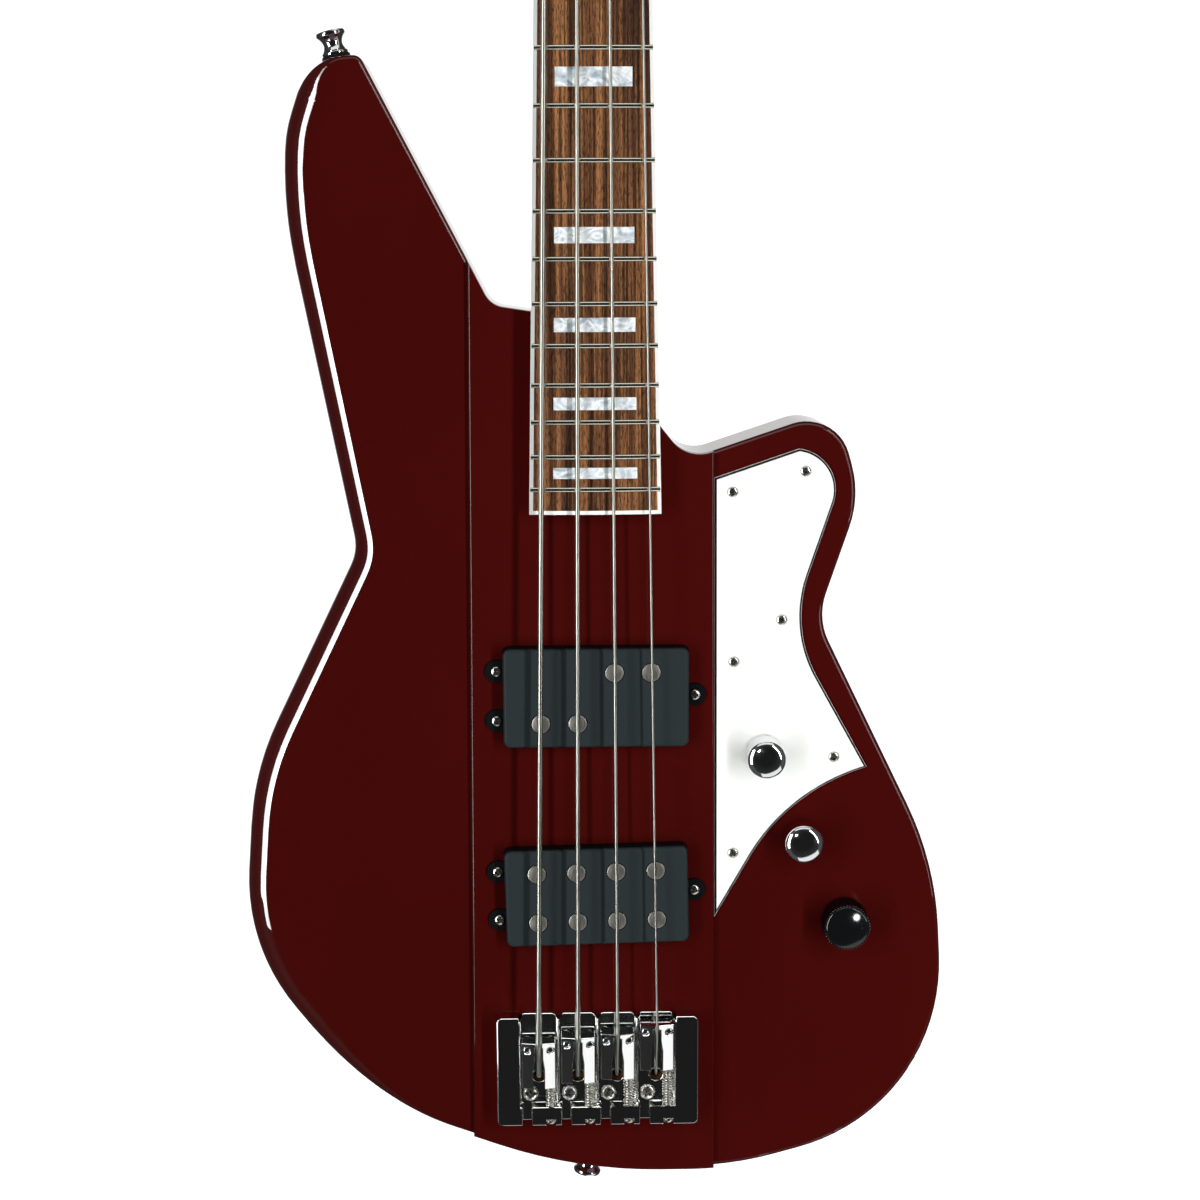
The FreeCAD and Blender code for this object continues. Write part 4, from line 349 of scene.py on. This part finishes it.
# Inlay blocks: thin plates of pearl plastic let into the fingerboard and sanded flush, with
# cloudy swirls of white and cool grey.
pearl = coat("pearl_plate", (0.75, 0.77, 0.78), 0.2, Coat_Weight=0.6, Coat_Roughness=0.06)
swirl = pattern(pearl, "Noise", (85, 120, 85), Detail=3.0, Distortion=1.7)
swirls = tint(pearl, swirl, ((0.3, (0.3, 0.37, 0.42)), (0.44, (0.55, 0.62, 0.66)),
                             (0.54, (0.86, 0.88, 0.89)), (0.66, (0.5, 0.57, 0.61))), None)
shard = pattern(pearl, "Noise", (420, 260, 420), Detail=2.0, Distortion=0.8)
shards = tint(pearl, shard, ((0.35, 0.78), (0.6, 1.0)), None)
blend_colours(pearl, "MULTIPLY", 0.8, swirls, shards)
dress("inlay_blocks", pearl)

# Frets: nickel-silver wire with a rounded crown, hammered into the slots, levelled and polished
# along the crown, with a soft brushed texture across.
fret_wire = coat("fret_wire", (0.78, 0.78, 0.68), 0.2, 1.0)
fret_polish = pattern(fret_wire, "Noise", (120, 4000, 4000), Detail=3.0)
tint(fret_wire, fret_polish, ((0.3, 0.12), (0.7, 0.26)), "Roughness")
dress("frets", fret_wire, sharp=50)

# Nut: a small block of bone-white composite at the end of the fingerboard, with one filed slot
# for each string.
bone = coat("bone_nut", (0.8, 0.76, 0.66), 0.4)
bone_fleck = pattern(bone, "Noise", (500, 500, 1500), Detail=4.0)
tint(bone, bone_fleck, ((0.3, (0.7, 0.65, 0.54)), (0.7, (0.84, 0.8, 0.71))))
nut_edge = 0.0003
dress("nut", bone, eased=nut_edge)


# Neck fixing: four steel screws in chrome ferrules sunk in the back hold the neck in its pocket,
# and a steel rod under the fingerboard keeps it straight.
chrome = coat("chrome_plate", (0.72, 0.73, 0.75), 0.06, 1.0)
chrome_haze = pattern(chrome, "Noise", (300, 300, 300), Detail=5.0)
tint(chrome, chrome_haze, ((0.3, 0.035), (0.75, 0.11)), "Roughness")
steel = coat("plain_steel", (0.5, 0.49, 0.47), 0.3, 1.0)
steel_lines = pattern(steel, "Noise", (900, 900, 3000), Detail=3.0)
tint(steel, steel_lines, ((0.3, 0.22), (0.7, 0.42)), "Roughness")
smooth_below = math.radians(38)
next_turn = 1.9


def take_up(piece):
    """Leaves one piece selected and active, ready for the modelling operators."""
    bpy.ops.object.select_all(action="DESELECT")
    piece.select_set(True)
    bpy.context.view_layer.objects.active = piece


def turn(name, profile, steps):
    """Spins a profile of radius and height points about the Z axis into a closed piece."""
    mesh = bpy.data.meshes.new(name)
    points = [(radius, 0, level) for radius, level in profile]
    mesh.from_pydata(points, [(i, i + 1) for i in range(len(points) - 1)], [])
    piece = bpy.data.objects.new(name, mesh)
    scene.collection.objects.link(piece)
    take_up(piece)
    bpy.ops.object.mode_set(mode="EDIT")
    bpy.ops.mesh.select_all(action="SELECT")
    bpy.ops.mesh.spin(steps=steps, angle=math.tau, center=(0, 0, 0), axis=(0, 0, 1))
    bpy.ops.mesh.select_all(action="SELECT")
    bpy.ops.mesh.remove_doubles(threshold=0.000001)
    bpy.ops.mesh.normals_make_consistent(inside=False)
    bpy.ops.object.mode_set(mode="OBJECT")
    bpy.ops.object.shade_smooth_by_angle(angle=smooth_below)
    return piece


def carve(piece, cutter):
    """Takes the shape of a cutter out of a piece and puts the cutter away."""
    take_up(piece)
    recess = piece.modifiers.new("recess", "BOOLEAN")
    recess.operation = "DIFFERENCE"
    recess.object = cutter
    bpy.ops.object.modifier_apply(modifier="recess")
    bpy.data.objects.remove(cutter)
    bpy.ops.object.shade_smooth_by_angle(angle=smooth_below)


def cross_screw(head_radius, head_height, shank_radius, length):
    """A domed screw head with a cross recess; its seat is at height 0 and its shank hangs below."""
    bend = [math.radians(angle) for angle in (90, 72, 52, 32, 14, 0)]
    dome = [(head_radius * math.sin(a), head_height * (0.3 + 0.7 * math.cos(a))) for a in bend]
    profile = [(0, -length), (shank_radius * 0.4, -length), (shank_radius, -length * 0.8),
               (shank_radius, 0), (head_radius, 0)] + dome
    screw = turn("screw_model", profile, 28)
    slot_width, slot_length, depth = head_radius * 0.34, head_radius * 1.35, head_height * 0.8
    for across, along in ((slot_width, slot_length), (slot_length, slot_width)):
        bpy.ops.object.select_all(action="DESELECT")
        bpy.ops.mesh.primitive_cube_add(size=1, location=(0, 0, head_height))
        blade = bpy.context.object
        blade.scale = (across, along, depth * 2)
        bpy.ops.object.transform_apply(location=True, rotation=True, scale=True)
        carve(screw, blade)
    return screw


def solids(node):
    """The lowest and highest corner of each separate solid of a CAD piece, from left to right."""
    copy = bpy.data.objects.new("solids_copy", frame["nodes"][node].data.copy())
    scene.collection.objects.link(copy)
    take_up(copy)
    bpy.ops.object.mode_set(mode="EDIT")
    bpy.ops.mesh.select_all(action="SELECT")
    bpy.ops.mesh.remove_doubles(threshold=same_point)
    bpy.ops.mesh.separate(type="LOOSE")
    bpy.ops.object.mode_set(mode="OBJECT")
    corners = []
    for part in list(bpy.context.selected_objects):
        axes = list(zip(*(vertex.co for vertex in part.data.vertices)))
        corners.append((Vector([min(axis) for axis in axes]), Vector([max(axis) for axis in axes])))
        bpy.data.objects.remove(part)
    return sorted(corners, key=lambda pair: (round(pair[0].x, 4), round(pair[0].y, 4)))


def set_down(name, models, places, material, node, body="guitar"):
    """Puts models at places, each a point and a direction, as one piece that stands for a CAD node.
    Each is turned further about its own axis than the one before, as screws are when driven home."""
    bpy.ops.object.select_all(action="DESELECT")
    copies = []
    for index, (point, direction) in enumerate(places):
        mesh = models[index % len(models)].data.copy()
        lean = Vector((0, 0, 1)).rotation_difference(Vector(direction)).to_matrix().to_4x4()
        mesh.transform(Matrix.Translation(point) @ lean @ Matrix.Rotation(next_turn * index, 4, "Z"))
        copy = bpy.data.objects.new(name, mesh)
        scene.collection.objects.link(copy)
        copy.select_set(True)
        copies.append(copy)
    bpy.context.view_layer.objects.active = copies[0]
    if len(copies) > 1:
        bpy.ops.object.join()
    piece = copies[0]
    piece.name = name
    piece.data.materials.clear()
    piece.data.materials.append(material)
    for model in models:
        bpy.data.objects.remove(model)
    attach(piece, body)
    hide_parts(node)
    return piece


def stand_screws(node, head_radius, head_height, shank_radius, facing, material, slot):
    """Cross-head screws in the place of a node's plain ones, facing up with 1 or down with -1."""
    boxes = solids(node)
    length = boxes[0][1].z - boxes[0][0].z - head_height
    places = []
    for low, high in boxes:
        middle = (low + high) / 2
        middle.z = high.z - head_height if facing > 0 else low.z + head_height
        places.append((middle, (0, 0, facing)))
    model = cross_screw(head_radius, head_height, shank_radius, length)
    set_down(f"{node}_turned", [model], places, material, node)


turned_edge = 0.0003
neck_bolt = (0.0047, 0.0027, 0.0024)
dress("neck_bolt_ferrules", chrome, eased=turned_edge)
stand_screws("neck_bolts", *neck_bolt, -1, steel, "steel")
dress("truss_rod", steel)


# Pickguard: a sheet of three-ply plastic, white on black on white, cut to shape with a bevelled
# edge that shows the black layer as a line, and laid on the wing beside the centre block.
ply = coat("three_ply", (0.86, 0.86, 0.84), 0.3, Specular_IOR_Level=0.2, Coat_Weight=0.1,
           Coat_Roughness=0.06)
guard_low, guard_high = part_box("pickguard")
sheet = height_in(ply, guard_low.z, guard_high.z)
layers = tint(ply, sheet, ((0.0, (0.7, 0.7, 0.66)), (0.48, (0.006, 0.006, 0.007)),
                           (0.86, (0.86, 0.87, 0.84))), None, "CONSTANT")
cloudy = pattern(ply, "Noise", (40, 40, 40), Detail=3.0)
clouds = tint(ply, cloudy, ((0.3, 0.95), (0.7, 1.0)), None)
blend_colours(ply, "MULTIPLY", 1.0, layers, clouds)
dress("pickguard", ply)


# Pickguard screws: small nickel-plated wood screws with domed heads and cross recesses, driven
# through the guard into the wing.
nickel = coat("nickel_plate", (0.64, 0.63, 0.58), 0.22, 1.0)
nickel_wear = pattern(nickel, "Noise", (700, 700, 700), Detail=4.0)
tint(nickel, nickel_wear, ((0.3, 0.14), (0.7, 0.34)), "Roughness")
wood_screw = (0.0026, 0.0015, 0.0013)
stand_screws("pickguard_screws", *wood_screw, 1, nickel, "nickel")


# Pickups: two black moulded covers with screw ears, each over two coils with nickel pole pieces,
# standing on foam in routs of the centre block.
black_plastic = coat("satin_black_plastic", (0.02, 0.026, 0.0285), 0.46, Specular_IOR_Level=0.06)
moulding = pattern(black_plastic, "Noise", (1400, 1400, 1400), Detail=3.0)
tint(black_plastic, moulding, ((0.3, 0.4), (0.7, 0.54)), "Roughness")
emboss(black_plastic, moulding, 0.00001)
copper = coat("enamelled_copper", (0.45, 0.17, 0.07), 0.35, 1.0)
copper_turns = pattern(copper, "Wave", (0, 0, 9000), Distortion=0.4)
tint(copper, copper_turns, ((0.2, (0.3, 0.1, 0.04)), (0.8, (0.52, 0.22, 0.1))))
shade_full_depth, shade_free_depth = 0.0016, 0.0002
for name in ("neck", "bridge"):
    cover_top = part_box(f"{name}_pickup_cover")[1].z
    shaded_moulding = black_plastic.copy()
    shaded_moulding.name = f"{name}_cover_plastic"
    # Below its top face each cover's rounded sides and ears are painted darker as painted shade; the top
    # keeps the plastic's own colour.
    painted_side_shade = height_in(shaded_moulding, cover_top - shade_full_depth, cover_top - shade_free_depth)
    tint(shaded_moulding, painted_side_shade, ((0.0, (0.004, 0.005, 0.0055)), (1.0, (0.02, 0.026, 0.0285))))
    dress(f"{name}_pickup_cover", shaded_moulding, sharp=40)
    dress(f"{name}_pickup_coils", copper)


def foot_of(low, high):
    """The middle of a box's foot, with the upward direction."""
    return Vector(((low.x + high.x) / 2, (low.y + high.y) / 2, low.z)), (0, 0, 1)


pole_metal = coat("pole_metal", (0.42, 0.41, 0.37), 0.4, 1.0)
pole_brush = pattern(pole_metal, "Noise", (2600, 260, 900), Detail=4.0)
tint(pole_metal, pole_brush, ((0.3, 0.3), (0.7, 0.52)), "Roughness")
emboss(pole_metal, pole_brush, 0.000006)
pole_radius, pole_rim = 0.00445, 0.0005
for name in ("neck", "bridge"):
    pole_boxes = solids(f"{name}_pickup_poles")
    pole_long = pole_boxes[0][1].z - pole_boxes[0][0].z
    pole_profile = [(0, 0), (pole_radius, 0), (pole_radius, pole_long - pole_rim),
                    (pole_radius - pole_rim * 0.3, pole_long - pole_rim * 0.3),
                    (pole_radius - pole_rim, pole_long), (0, pole_long)]
    pole_spots = [foot_of(low, high) for low, high in pole_boxes]
    set_down(f"{name}_poles", [turn("pole_model", pole_profile, 48)], pole_spots, pole_metal,
             f"{name}_pickup_poles")
stand_screws("pickup_screws", *wood_screw, 1, nickel, "nickel")


# Pickup foam: a block of black open-cell foam under each pickup, cut by hand and a little uneven,
# which presses the pickup up against its screws.
def roughen(piece, grain, depth):
    """Gives a soft piece an uneven surface, with bumps of a given size and depth."""
    take_up(piece)
    texture = bpy.data.textures.new(piece.name, "CLOUDS")
    texture.noise_scale = grain
    uneven = piece.modifiers.new("uneven", "DISPLACE")
    uneven.texture = texture
    uneven.strength = depth
    uneven.mid_level = 1.0
    bpy.ops.object.modifier_apply(modifier="uneven")


foam = coat("black_foam", (0.02, 0.02, 0.02), 0.95)
foam_cells = pattern(foam, "Voronoi", (900, 900, 900))
tint(foam, foam_cells, ((0.1, 0.008), (0.8, 0.035)))
emboss(foam, foam_cells, 0.0003)
foam_round, foam_cuts, foam_lump, foam_uneven = 0.0012, 12, 0.004, 0.0006
foam_pads = []
for low, high in solids("pickup_foam"):
    bpy.ops.object.select_all(action="DESELECT")
    bpy.ops.mesh.primitive_cube_add(size=1, location=(low + high) / 2)
    pad = bpy.context.object
    pad.scale = high - low
    bpy.ops.object.transform_apply(location=True, rotation=True, scale=True)
    bpy.ops.object.mode_set(mode="EDIT")
    bpy.ops.mesh.select_all(action="SELECT")
    bpy.ops.mesh.bevel(offset=foam_round, segments=3, affect="EDGES")
    bpy.ops.mesh.select_all(action="SELECT")
    bpy.ops.mesh.subdivide(number_cuts=foam_cuts)
    bpy.ops.object.mode_set(mode="OBJECT")
    pad.name = "pickup_foam_pad"
    roughen(pad, foam_lump, foam_uneven)
    foam_pads.append(pad)
bpy.ops.object.select_all(action="DESELECT")
for pad in foam_pads:
    pad.select_set(True)
bpy.context.view_layer.objects.active = foam_pads[0]
bpy.ops.object.join()
foam_pads[0].data.materials.append(foam)
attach(foam_pads[0], "guitar")
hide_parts("pickup_foam")


# Bridge: one chromed casting screwed to the centre block, with a bay for each saddle. Every saddle
# is a fork that two height screws stand on the floor and one sprung screw draws back.
cast_chrome = coat("cast_chrome", (0.76, 0.77, 0.76), 0.06, 1.0)
cast_haze = pattern(cast_chrome, "Noise", (260, 90, 260), Detail=5.0)
tint(cast_chrome, cast_haze, ((0.3, 0.04), (0.72, 0.09)), "Roughness")
base_edge, saddle_edge, cast_sharp = 0.00045, 0.0004, 32
dress("bridge_base", cast_chrome, eased=base_edge, sharp=cast_sharp, held=False)
dress("saddles", cast_chrome, eased=saddle_edge, sharp=cast_sharp, held=False)
shine_on("saddle_card", frame["nodes"]["saddles"])
shine_on("bridge_card", frame["nodes"]["saddles"], frame["nodes"]["bridge_base"])
string_spread = 0.0578
string_gap = string_spread / 3
string_lines = [(index - 1.5) * string_gap for index in range(4)]
socket_depth = 0.0015


def socket_screw(radius, length):
    """A headless screw with a rounded top and a six-sided socket, standing on height 0."""
    profile = [(0, 0), (radius, 0), (radius, length - 0.5 * radius),
               (radius * 0.92, length - 0.24 * radius), (radius * 0.7, length - 0.08 * radius),
               (radius * 0.35, length - 0.01 * radius), (0, length)]
    screw = turn("screw_model", profile, 32)
    bpy.ops.object.select_all(action="DESELECT")
    bpy.ops.mesh.primitive_cylinder_add(vertices=6, radius=radius * 0.56, depth=socket_depth * 2,
                                        location=(0, 0, length))
    carve(screw, bpy.context.object)
    return screw


height_screws = solids("saddle_height_screws")
height_screw_radius = 0.00175
screw_feet = [foot_of(low, high) for low, high in height_screws]
socket_screws = [socket_screw(height_screw_radius, high.z - low.z) for low, high in height_screws]
set_down("saddle_height_screws_turned", socket_screws, screw_feet, chrome, "saddle_height_screws")
bridge_screw = (0.0038, 0.0022, 0.0013)
stand_screws("bridge_screws", *bridge_screw, 1, nickel, "chrome")
rear_head_radius, rear_head, rear_shank = 0.0027, 0.0026, 0.0013
rear_screws = solids("intonation_screws")
rear_places = [(Vector(((low.x + high.x) / 2, low.y + rear_head, (low.z + high.z) / 2)), (0, -1, 0))
               for low, high in rear_screws]
rear_models = [cross_screw(rear_head_radius, rear_head, rear_shank, high.y - low.y - rear_head)
               for low, high in rear_screws]
set_down("intonation_screws_turned", rear_models, rear_places, nickel, "intonation_screws")


# Intonation springs: nickel wire wound into open coils round the saddle screws, pressed between
# the rear wall of the bridge and the saddles.
def tube(name, points, radii, sides, material, node):
    """A tube along a line of points, with its own radius at each point, as a mesh with closed ends."""
    curve = bpy.data.curves.new(name, "CURVE")
    curve.dimensions = "3D"
    curve.bevel_depth = 1.0
    curve.bevel_resolution = sides
    curve.use_fill_caps = True
    spline = curve.splines.new("POLY")
    spline.points.add(len(points) - 1)
    spline.points.foreach_set("co", [value for point in points for value in (*point, 1)])
    spline.points.foreach_set("radius", radii)
    drawn = bpy.data.objects.new(name + "_line", curve)
    scene.collection.objects.link(drawn)
    bpy.context.view_layer.update()
    mesh = bpy.data.meshes.new_from_object(drawn.evaluated_get(bpy.context.evaluated_depsgraph_get()))
    bpy.data.objects.remove(drawn)
    mesh.name = name
    mesh.polygons.foreach_set("use_smooth", [True] * len(mesh.polygons))
    mesh.materials.clear()
    mesh.materials.append(material)
    piece = bpy.data.objects.new(name, mesh)
    scene.collection.objects.link(piece)
    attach(piece, "guitar")
    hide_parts(node)


saddle_fronts = (-0.0138, -0.0108, -0.0092, -0.0054)
saddle_length, rear_wall = 0.0242, -0.0486
spring_radius, spring_wire, spring_pitch, spring_play = 0.0021, 0.00074, 0.00135, 0.0002
spring_steps, spring_aside, spring_level = 20, 0.0058, 0.0532
for index, letter in enumerate("eadg"):
    centre_x = string_lines[index] + spring_aside
    room_long = saddle_fronts[index] - saddle_length - rear_wall - spring_wire - 2 * spring_play
    turns = round(room_long / spring_pitch)
    start = rear_wall + spring_wire / 2 + spring_play
    coil = []
    for step in range(turns * spring_steps + 1):
        angle = math.tau * step / spring_steps
        coil.append((centre_x + spring_radius * math.cos(angle),
                     start + room_long * angle / math.tau / turns,
                     spring_level + spring_radius * math.sin(angle)))
    tube(f"spring_{letter}", coil, [spring_wire / 2] * len(coil), 2, nickel,
         "intonation_springs")


# Strings: steel cores wound with round nickel wire, from the balls in the back ferrules up through
# the body, over saddle and nut, and round the tuner posts.
string_metal = coat("wound_string", (0.38, 0.385, 0.34), 0.34, 1.0)
string_grime = pattern(string_metal, "Noise", (500, 60, 500), Detail=4.0)
tint(string_metal, string_grime, ((0.3, 0.26), (0.7, 0.46)), "Roughness")
diameters = (0.00267, 0.00216, 0.00165, 0.00114)
wrap_pitches = (0.0007, 0.0006, 0.0005, 0.0004)
post_turns = (2.25, 2.25, 3.25, 3.25)
groove_share = 0.9
ball_level, bore_top, corner_reach = 0.006, 0.049, 0.0028
saddle_crest, saddle_lip, board_radius = 0.061, 0.0022, 0.305
nut_y, nut_crest, nut_spread = 0.8636, 0.0584, 0.034
post_line, post_gap, post_radius, post_play = math.radians(15.4), 0.043, 0.0055, 0.0003
post_step = Vector((math.sin(post_line), math.cos(post_line), 0))
first_post = Vector((-0.0246, 0.908, 0))
post_places = [first_post + post_step * (post_gap * index) for index in range(4)]
flange_top, flange_play, level_run = 0.0476, 0.0006, 0.012
turn_gap, turn_steps, corner_steps = 0.00055, 36, 8


def eased_route(corners, reach):
    """Straight runs whose corners are rounded over a short reach on either side."""
    route = [corners[0]]
    for before, corner, after in zip(corners, corners[1:], corners[2:]):
        start = corner + (before - corner).normalized() * reach
        end = corner + (after - corner).normalized() * reach
        for step in range(corner_steps + 1):
            share = step / corner_steps
            route.append(start * (1 - share) ** 2 + corner * 2 * share * (1 - share) + end * share ** 2)
    return route + [corners[-1]]


def stepped(route, spacing):
    """Points at even spacing along a route."""
    points, left = [route[0]], spacing
    for start, end in zip(route, route[1:]):
        run = (end - start).length
        while left <= run:
            points.append(start.lerp(end, left / run))
            left += spacing
        left -= run
    return points


for index, letter in enumerate("eadg"):
    radius = diameters[index] / 2
    x = string_lines[index]
    nut_x = (index - 1.5) * nut_spread / 3
    post = post_places[index]
    wrap_radius = post_radius + post_play + radius
    saddle_level = saddle_crest - x ** 2 / (2 * board_radius) + radius
    over_saddle = Vector((x, saddle_fronts[index] - saddle_lip, saddle_level))
    over_nut = Vector((nut_x, nut_y, nut_crest - nut_x ** 2 / (2 * board_radius) + radius))
    to_post = post - Vector((nut_x, nut_y, 0))
    swing = math.asin(wrap_radius / to_post.length)
    way = Matrix.Rotation(-swing, 3, "Z") @ to_post.normalized()
    reach = math.sqrt(to_post.length ** 2 - wrap_radius ** 2)
    touch = Vector((nut_x, nut_y, flange_top + flange_play + radius)) + way * reach
    corners = [Vector((x, bore_row, ball_level)), Vector((x, bore_row, bore_top)), over_saddle, over_nut,
               touch - way * level_run, touch]
    route = eased_route(corners, corner_reach)
    first = math.atan2(touch.y - post.y, touch.x - post.x)
    rise = diameters[index] + turn_gap
    for step in range(1, int(post_turns[index] * turn_steps) + 1):
        angle = math.tau * step / turn_steps
        route.append(Vector((post.x + wrap_radius * math.cos(first + angle),
                             post.y + wrap_radius * math.sin(first + angle),
                             touch.z + rise * step / turn_steps)))
    line = stepped(route, wrap_pitches[index] / 2)
    thick = [radius if step % 2 else radius * groove_share for step in range(len(line))]
    tube(f"string_{letter}_wound", line, thick, 1, string_metal, f"string_{letter}")

# String ferrules: turned chrome cups pressed into bores in the back of the body, where the ball end
# of each string seats.
dress("string_ferrules", chrome, eased=turned_edge)


# Controls: two domed chrome knobs for volume and tone and a black ribbed one, on the brass shafts
# of potentiometers that hang in the cavity, with their nuts on the face and a cover at the back.
brass = coat("turned_brass", (0.6, 0.42, 0.16), 0.3, 1.0)
brass_lines = pattern(brass, "Noise", (300, 300, 5000), Detail=3.0)
tint(brass, brass_lines, ((0.3, 0.2), (0.7, 0.42)), "Roughness")
black_knob = coat("gloss_black_knob", (0.004, 0.0045, 0.005), 0.1)
knob_grain = pattern(black_knob, "Noise", (900, 900, 900), Detail=3.0)
tint(black_knob, knob_grain, ((0.3, 0.06), (0.7, 0.13)), "Roughness")
for control in ("volume", "tone", "contour"):
    dress(f"{control}_shaft", brass)
knob_tall, knob_ease, crown_steps = 0.016, 0.0003, 12
knob_bore, knob_bore_top = 0.00322, 0.0121
knob_recess, knob_recess_top = 0.0077, 0.0054


def knob_section(outer, tall, bends):
    """Half a section of a hollow knob: bore, recess, wall and a crown that bends ever more tightly to
    the wall. Each bend has its radius and the slope in degrees where it ends."""
    reach, level, lean = 0.0, tall, 0.0
    crown = [(reach, level)]
    for curve, steepest in (*bends, (None, 90)):
        steep = math.radians(steepest)
        curve = curve or (outer - reach) / (1 - math.sin(lean))
        for step in range(1, crown_steps + 1):
            angle = lean + (steep - lean) * step / crown_steps
            crown.append((reach + curve * (math.sin(angle) - math.sin(lean)),
                          level - curve * (math.cos(lean) - math.cos(angle))))
        reach, level = crown[-1]
        lean = steep
    hollow = [(0, knob_bore_top), (knob_bore, knob_bore_top), (knob_bore, knob_recess_top),
              (knob_recess, knob_recess_top), (knob_recess, 0)]
    return hollow + [(outer - knob_ease, 0), (outer, knob_ease)] + crown[::-1]


dome_radius, dome_bends = 0.0093, ((0.02, 18.4), (0.007, 39))
domes = []
for control in ("volume", "tone"):
    dome = turn("dome_model", knob_section(dome_radius, knob_tall, dome_bends), 96)
    dome_spot = [foot_of(*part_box(f"{control}_knob"))]
    domes.append(set_down(f"{control}_dome", [dome], dome_spot, chrome, f"{control}_knob",
                          f"{control}_control"))
shine_on("dome_card", *domes)

ribs, rib_rise, rib_outer = 48, 0.0006, 0.0114
rib_start, rib_end, rib_steps = 0.1, 0.4, 6
rib_foot = rib_outer - rib_rise
ribbed_bends = ((0.034, 16.5),)
ribbed = turn("ribbed_model", knob_section(rib_foot, knob_tall, ribbed_bends), ribs * rib_steps)
take_up(ribbed)
bpy.ops.object.mode_set(mode="EDIT")
bpy.ops.mesh.select_mode(type="VERT")
bpy.ops.mesh.select_all(action="DESELECT")
bpy.ops.object.mode_set(mode="OBJECT")
for vertex in ribbed.data.vertices:
    place = vertex.co
    along_rib = math.atan2(place.y, place.x) / math.tau * ribs % 1
    on_wall = math.hypot(place.x, place.y) > rib_foot - 0.00001
    vertex.select = on_wall and rib_start < along_rib < rib_end
bpy.ops.object.mode_set(mode="EDIT")
widen = rib_outer / rib_foot
bpy.ops.transform.resize(value=(widen, widen, 1), center_override=(0, 0, 0))
bpy.ops.object.mode_set(mode="OBJECT")
bpy.ops.object.shade_smooth_by_angle(angle=smooth_below)
ribbed_spot = [foot_of(*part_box("contour_knob"))]
ribbed_knob = set_down("contour_ribbed", [ribbed], ribbed_spot, black_knob, "contour_knob",
                       "contour_control")
shine_on("ribbed_card", ribbed_knob)
knob_side = coat("satin_black_ribs", (0.003, 0.0034, 0.004), 0.3, Specular_IOR_Level=0.2)
side_grain = pattern(knob_side, "Noise", (900, 900, 900), Detail=3.0)
tint(knob_side, side_grain, ((0.3, 0.24), (0.7, 0.36)), "Roughness")
ribbed_knob.data.materials.append(knob_side)
upright_below = 0.3
for face in ribbed_knob.data.polygons:
    face.material_index = 1 if abs(face.normal.z) < upright_below else 0
dress("potentiometers", steel, eased=turned_edge)
dress("pot_nuts", nickel, eased=turned_edge)
dress("control_cover", black_plastic, eased=turned_edge)
cover_screw = (0.0026, 0.0014, 0.0013)
stand_screws("control_cover_screws", *cover_screw, -1, nickel, "nickel")

# Output jack: a turned chrome cup sunk in a bore of the lower treble edge, with the socket's steel
# barrel behind it.
cup_edge = 0.0004
dress("jack_cup", chrome, eased=cup_edge)
dress("jack_socket", steel, eased=turned_edge)


# Strap buttons: turned chrome buttons on the horn and the tail, each screwed through a black felt
# washer into the body's side.
felt = coat("black_felt", (0.005, 0.005, 0.005), 0.95, Specular_IOR_Level=0.1, Sheen_Weight=0.04)
felt_fibre = pattern(felt, "Noise", (2200, 2200, 2200), Detail=5.0)
tint(felt, felt_fibre, ((0.3, 0.002), (0.7, 0.009)))
emboss(felt, felt_fibre, 0.0002)
outward = [Vector(mount["axis"]) for mount in frame["record"]["mounts"]
           if mount["name"].startswith("strap_button")]
felt_middles = [(low + high) / 2 for low, high in solids("strap_felts")]
felt_thick, felt_lump, felt_uneven = 0.0026, 0.0012, 0.0003
button_tall, button_bore, screw_sink = 0.011, 0.00255, 0.0024
felt_section = [(button_bore, 0), (0.0062, 0), (0.0067, 0.0003), (0.0069, 0.0009), (0.0069, 0.0017),
                (0.0067, 0.0023), (0.0062, felt_thick), (0.0045, felt_thick), (button_bore, felt_thick),
                (button_bore, 0)]
felts = set_down("strap_felt_washers", [turn("felt_model", felt_section, 64)],
                 [(middle - out * felt_thick / 2, out) for middle, out in zip(felt_middles, outward)],
                 felt, "strap_felts")
roughen(felts, felt_lump, felt_uneven)
waist, waist_start, waist_rise, waist_steps = 0.0044, 0.0015, 0.0073, 12
foot_spread, rim_spread = 0.0014, 0.0024
button_section = [(button_bore, 0), (0.006, 0), (0.0062, 0.0002), (0.0062, 0.0011), (0.006, 0.0014)]
for step in range(waist_steps + 1):
    share = step / waist_steps
    foot_flare = foot_spread * max(0, 1 - 2 * share) ** 2
    rim_flare = rim_spread * max(0, (share - 0.3) / 0.7) ** 2.5
    button_section.append((waist + foot_flare + rim_flare, waist_start + waist_rise * share))
button_section += [(0.0069, 0.0091), (0.0069, 0.0099), (0.0066, 0.0107), (0.006, button_tall),
                   (0.0045, button_tall), (0.0043, button_tall - 0.0002),
                   (0.0043, button_tall - screw_sink), (button_bore, button_tall - screw_sink),
                   (button_bore, 0)]
set_down("strap_buttons_turned", [turn("button_model", button_section, 64)],
         [(middle + out * felt_thick / 2, out) for middle, out in zip(felt_middles, outward)],
         chrome, "strap_buttons")
screw_seat = felt_thick / 2 + button_tall - screw_sink
button_screw, button_screw_length = (0.0042, 0.002, 0.0024), 0.0426
set_down("strap_button_screws_turned", [cross_screw(*button_screw, button_screw_length)],
         [(middle + out * screw_seat, out) for middle, out in zip(felt_middles, outward)],
         nickel, "strap_button_screws")


# Tuners: sealed chrome worm housings screwed to the back of the headstock, with threaded bushings
# on its face, slotted posts and oval keys on the bass side.
housing_edge, post_edge = 0.0004, 0.0002
dress("tuner_housings", chrome, eased=housing_edge)
dress("tuner_bushings", chrome, eased=turned_edge)
stand_screws("tuner_screws", *wood_screw, -1, nickel, "nickel")
for letter in "eadg":
    dress(f"tuner_key_{letter}", chrome)
    dress(f"tuner_post_{letter}", chrome, eased=post_edge)
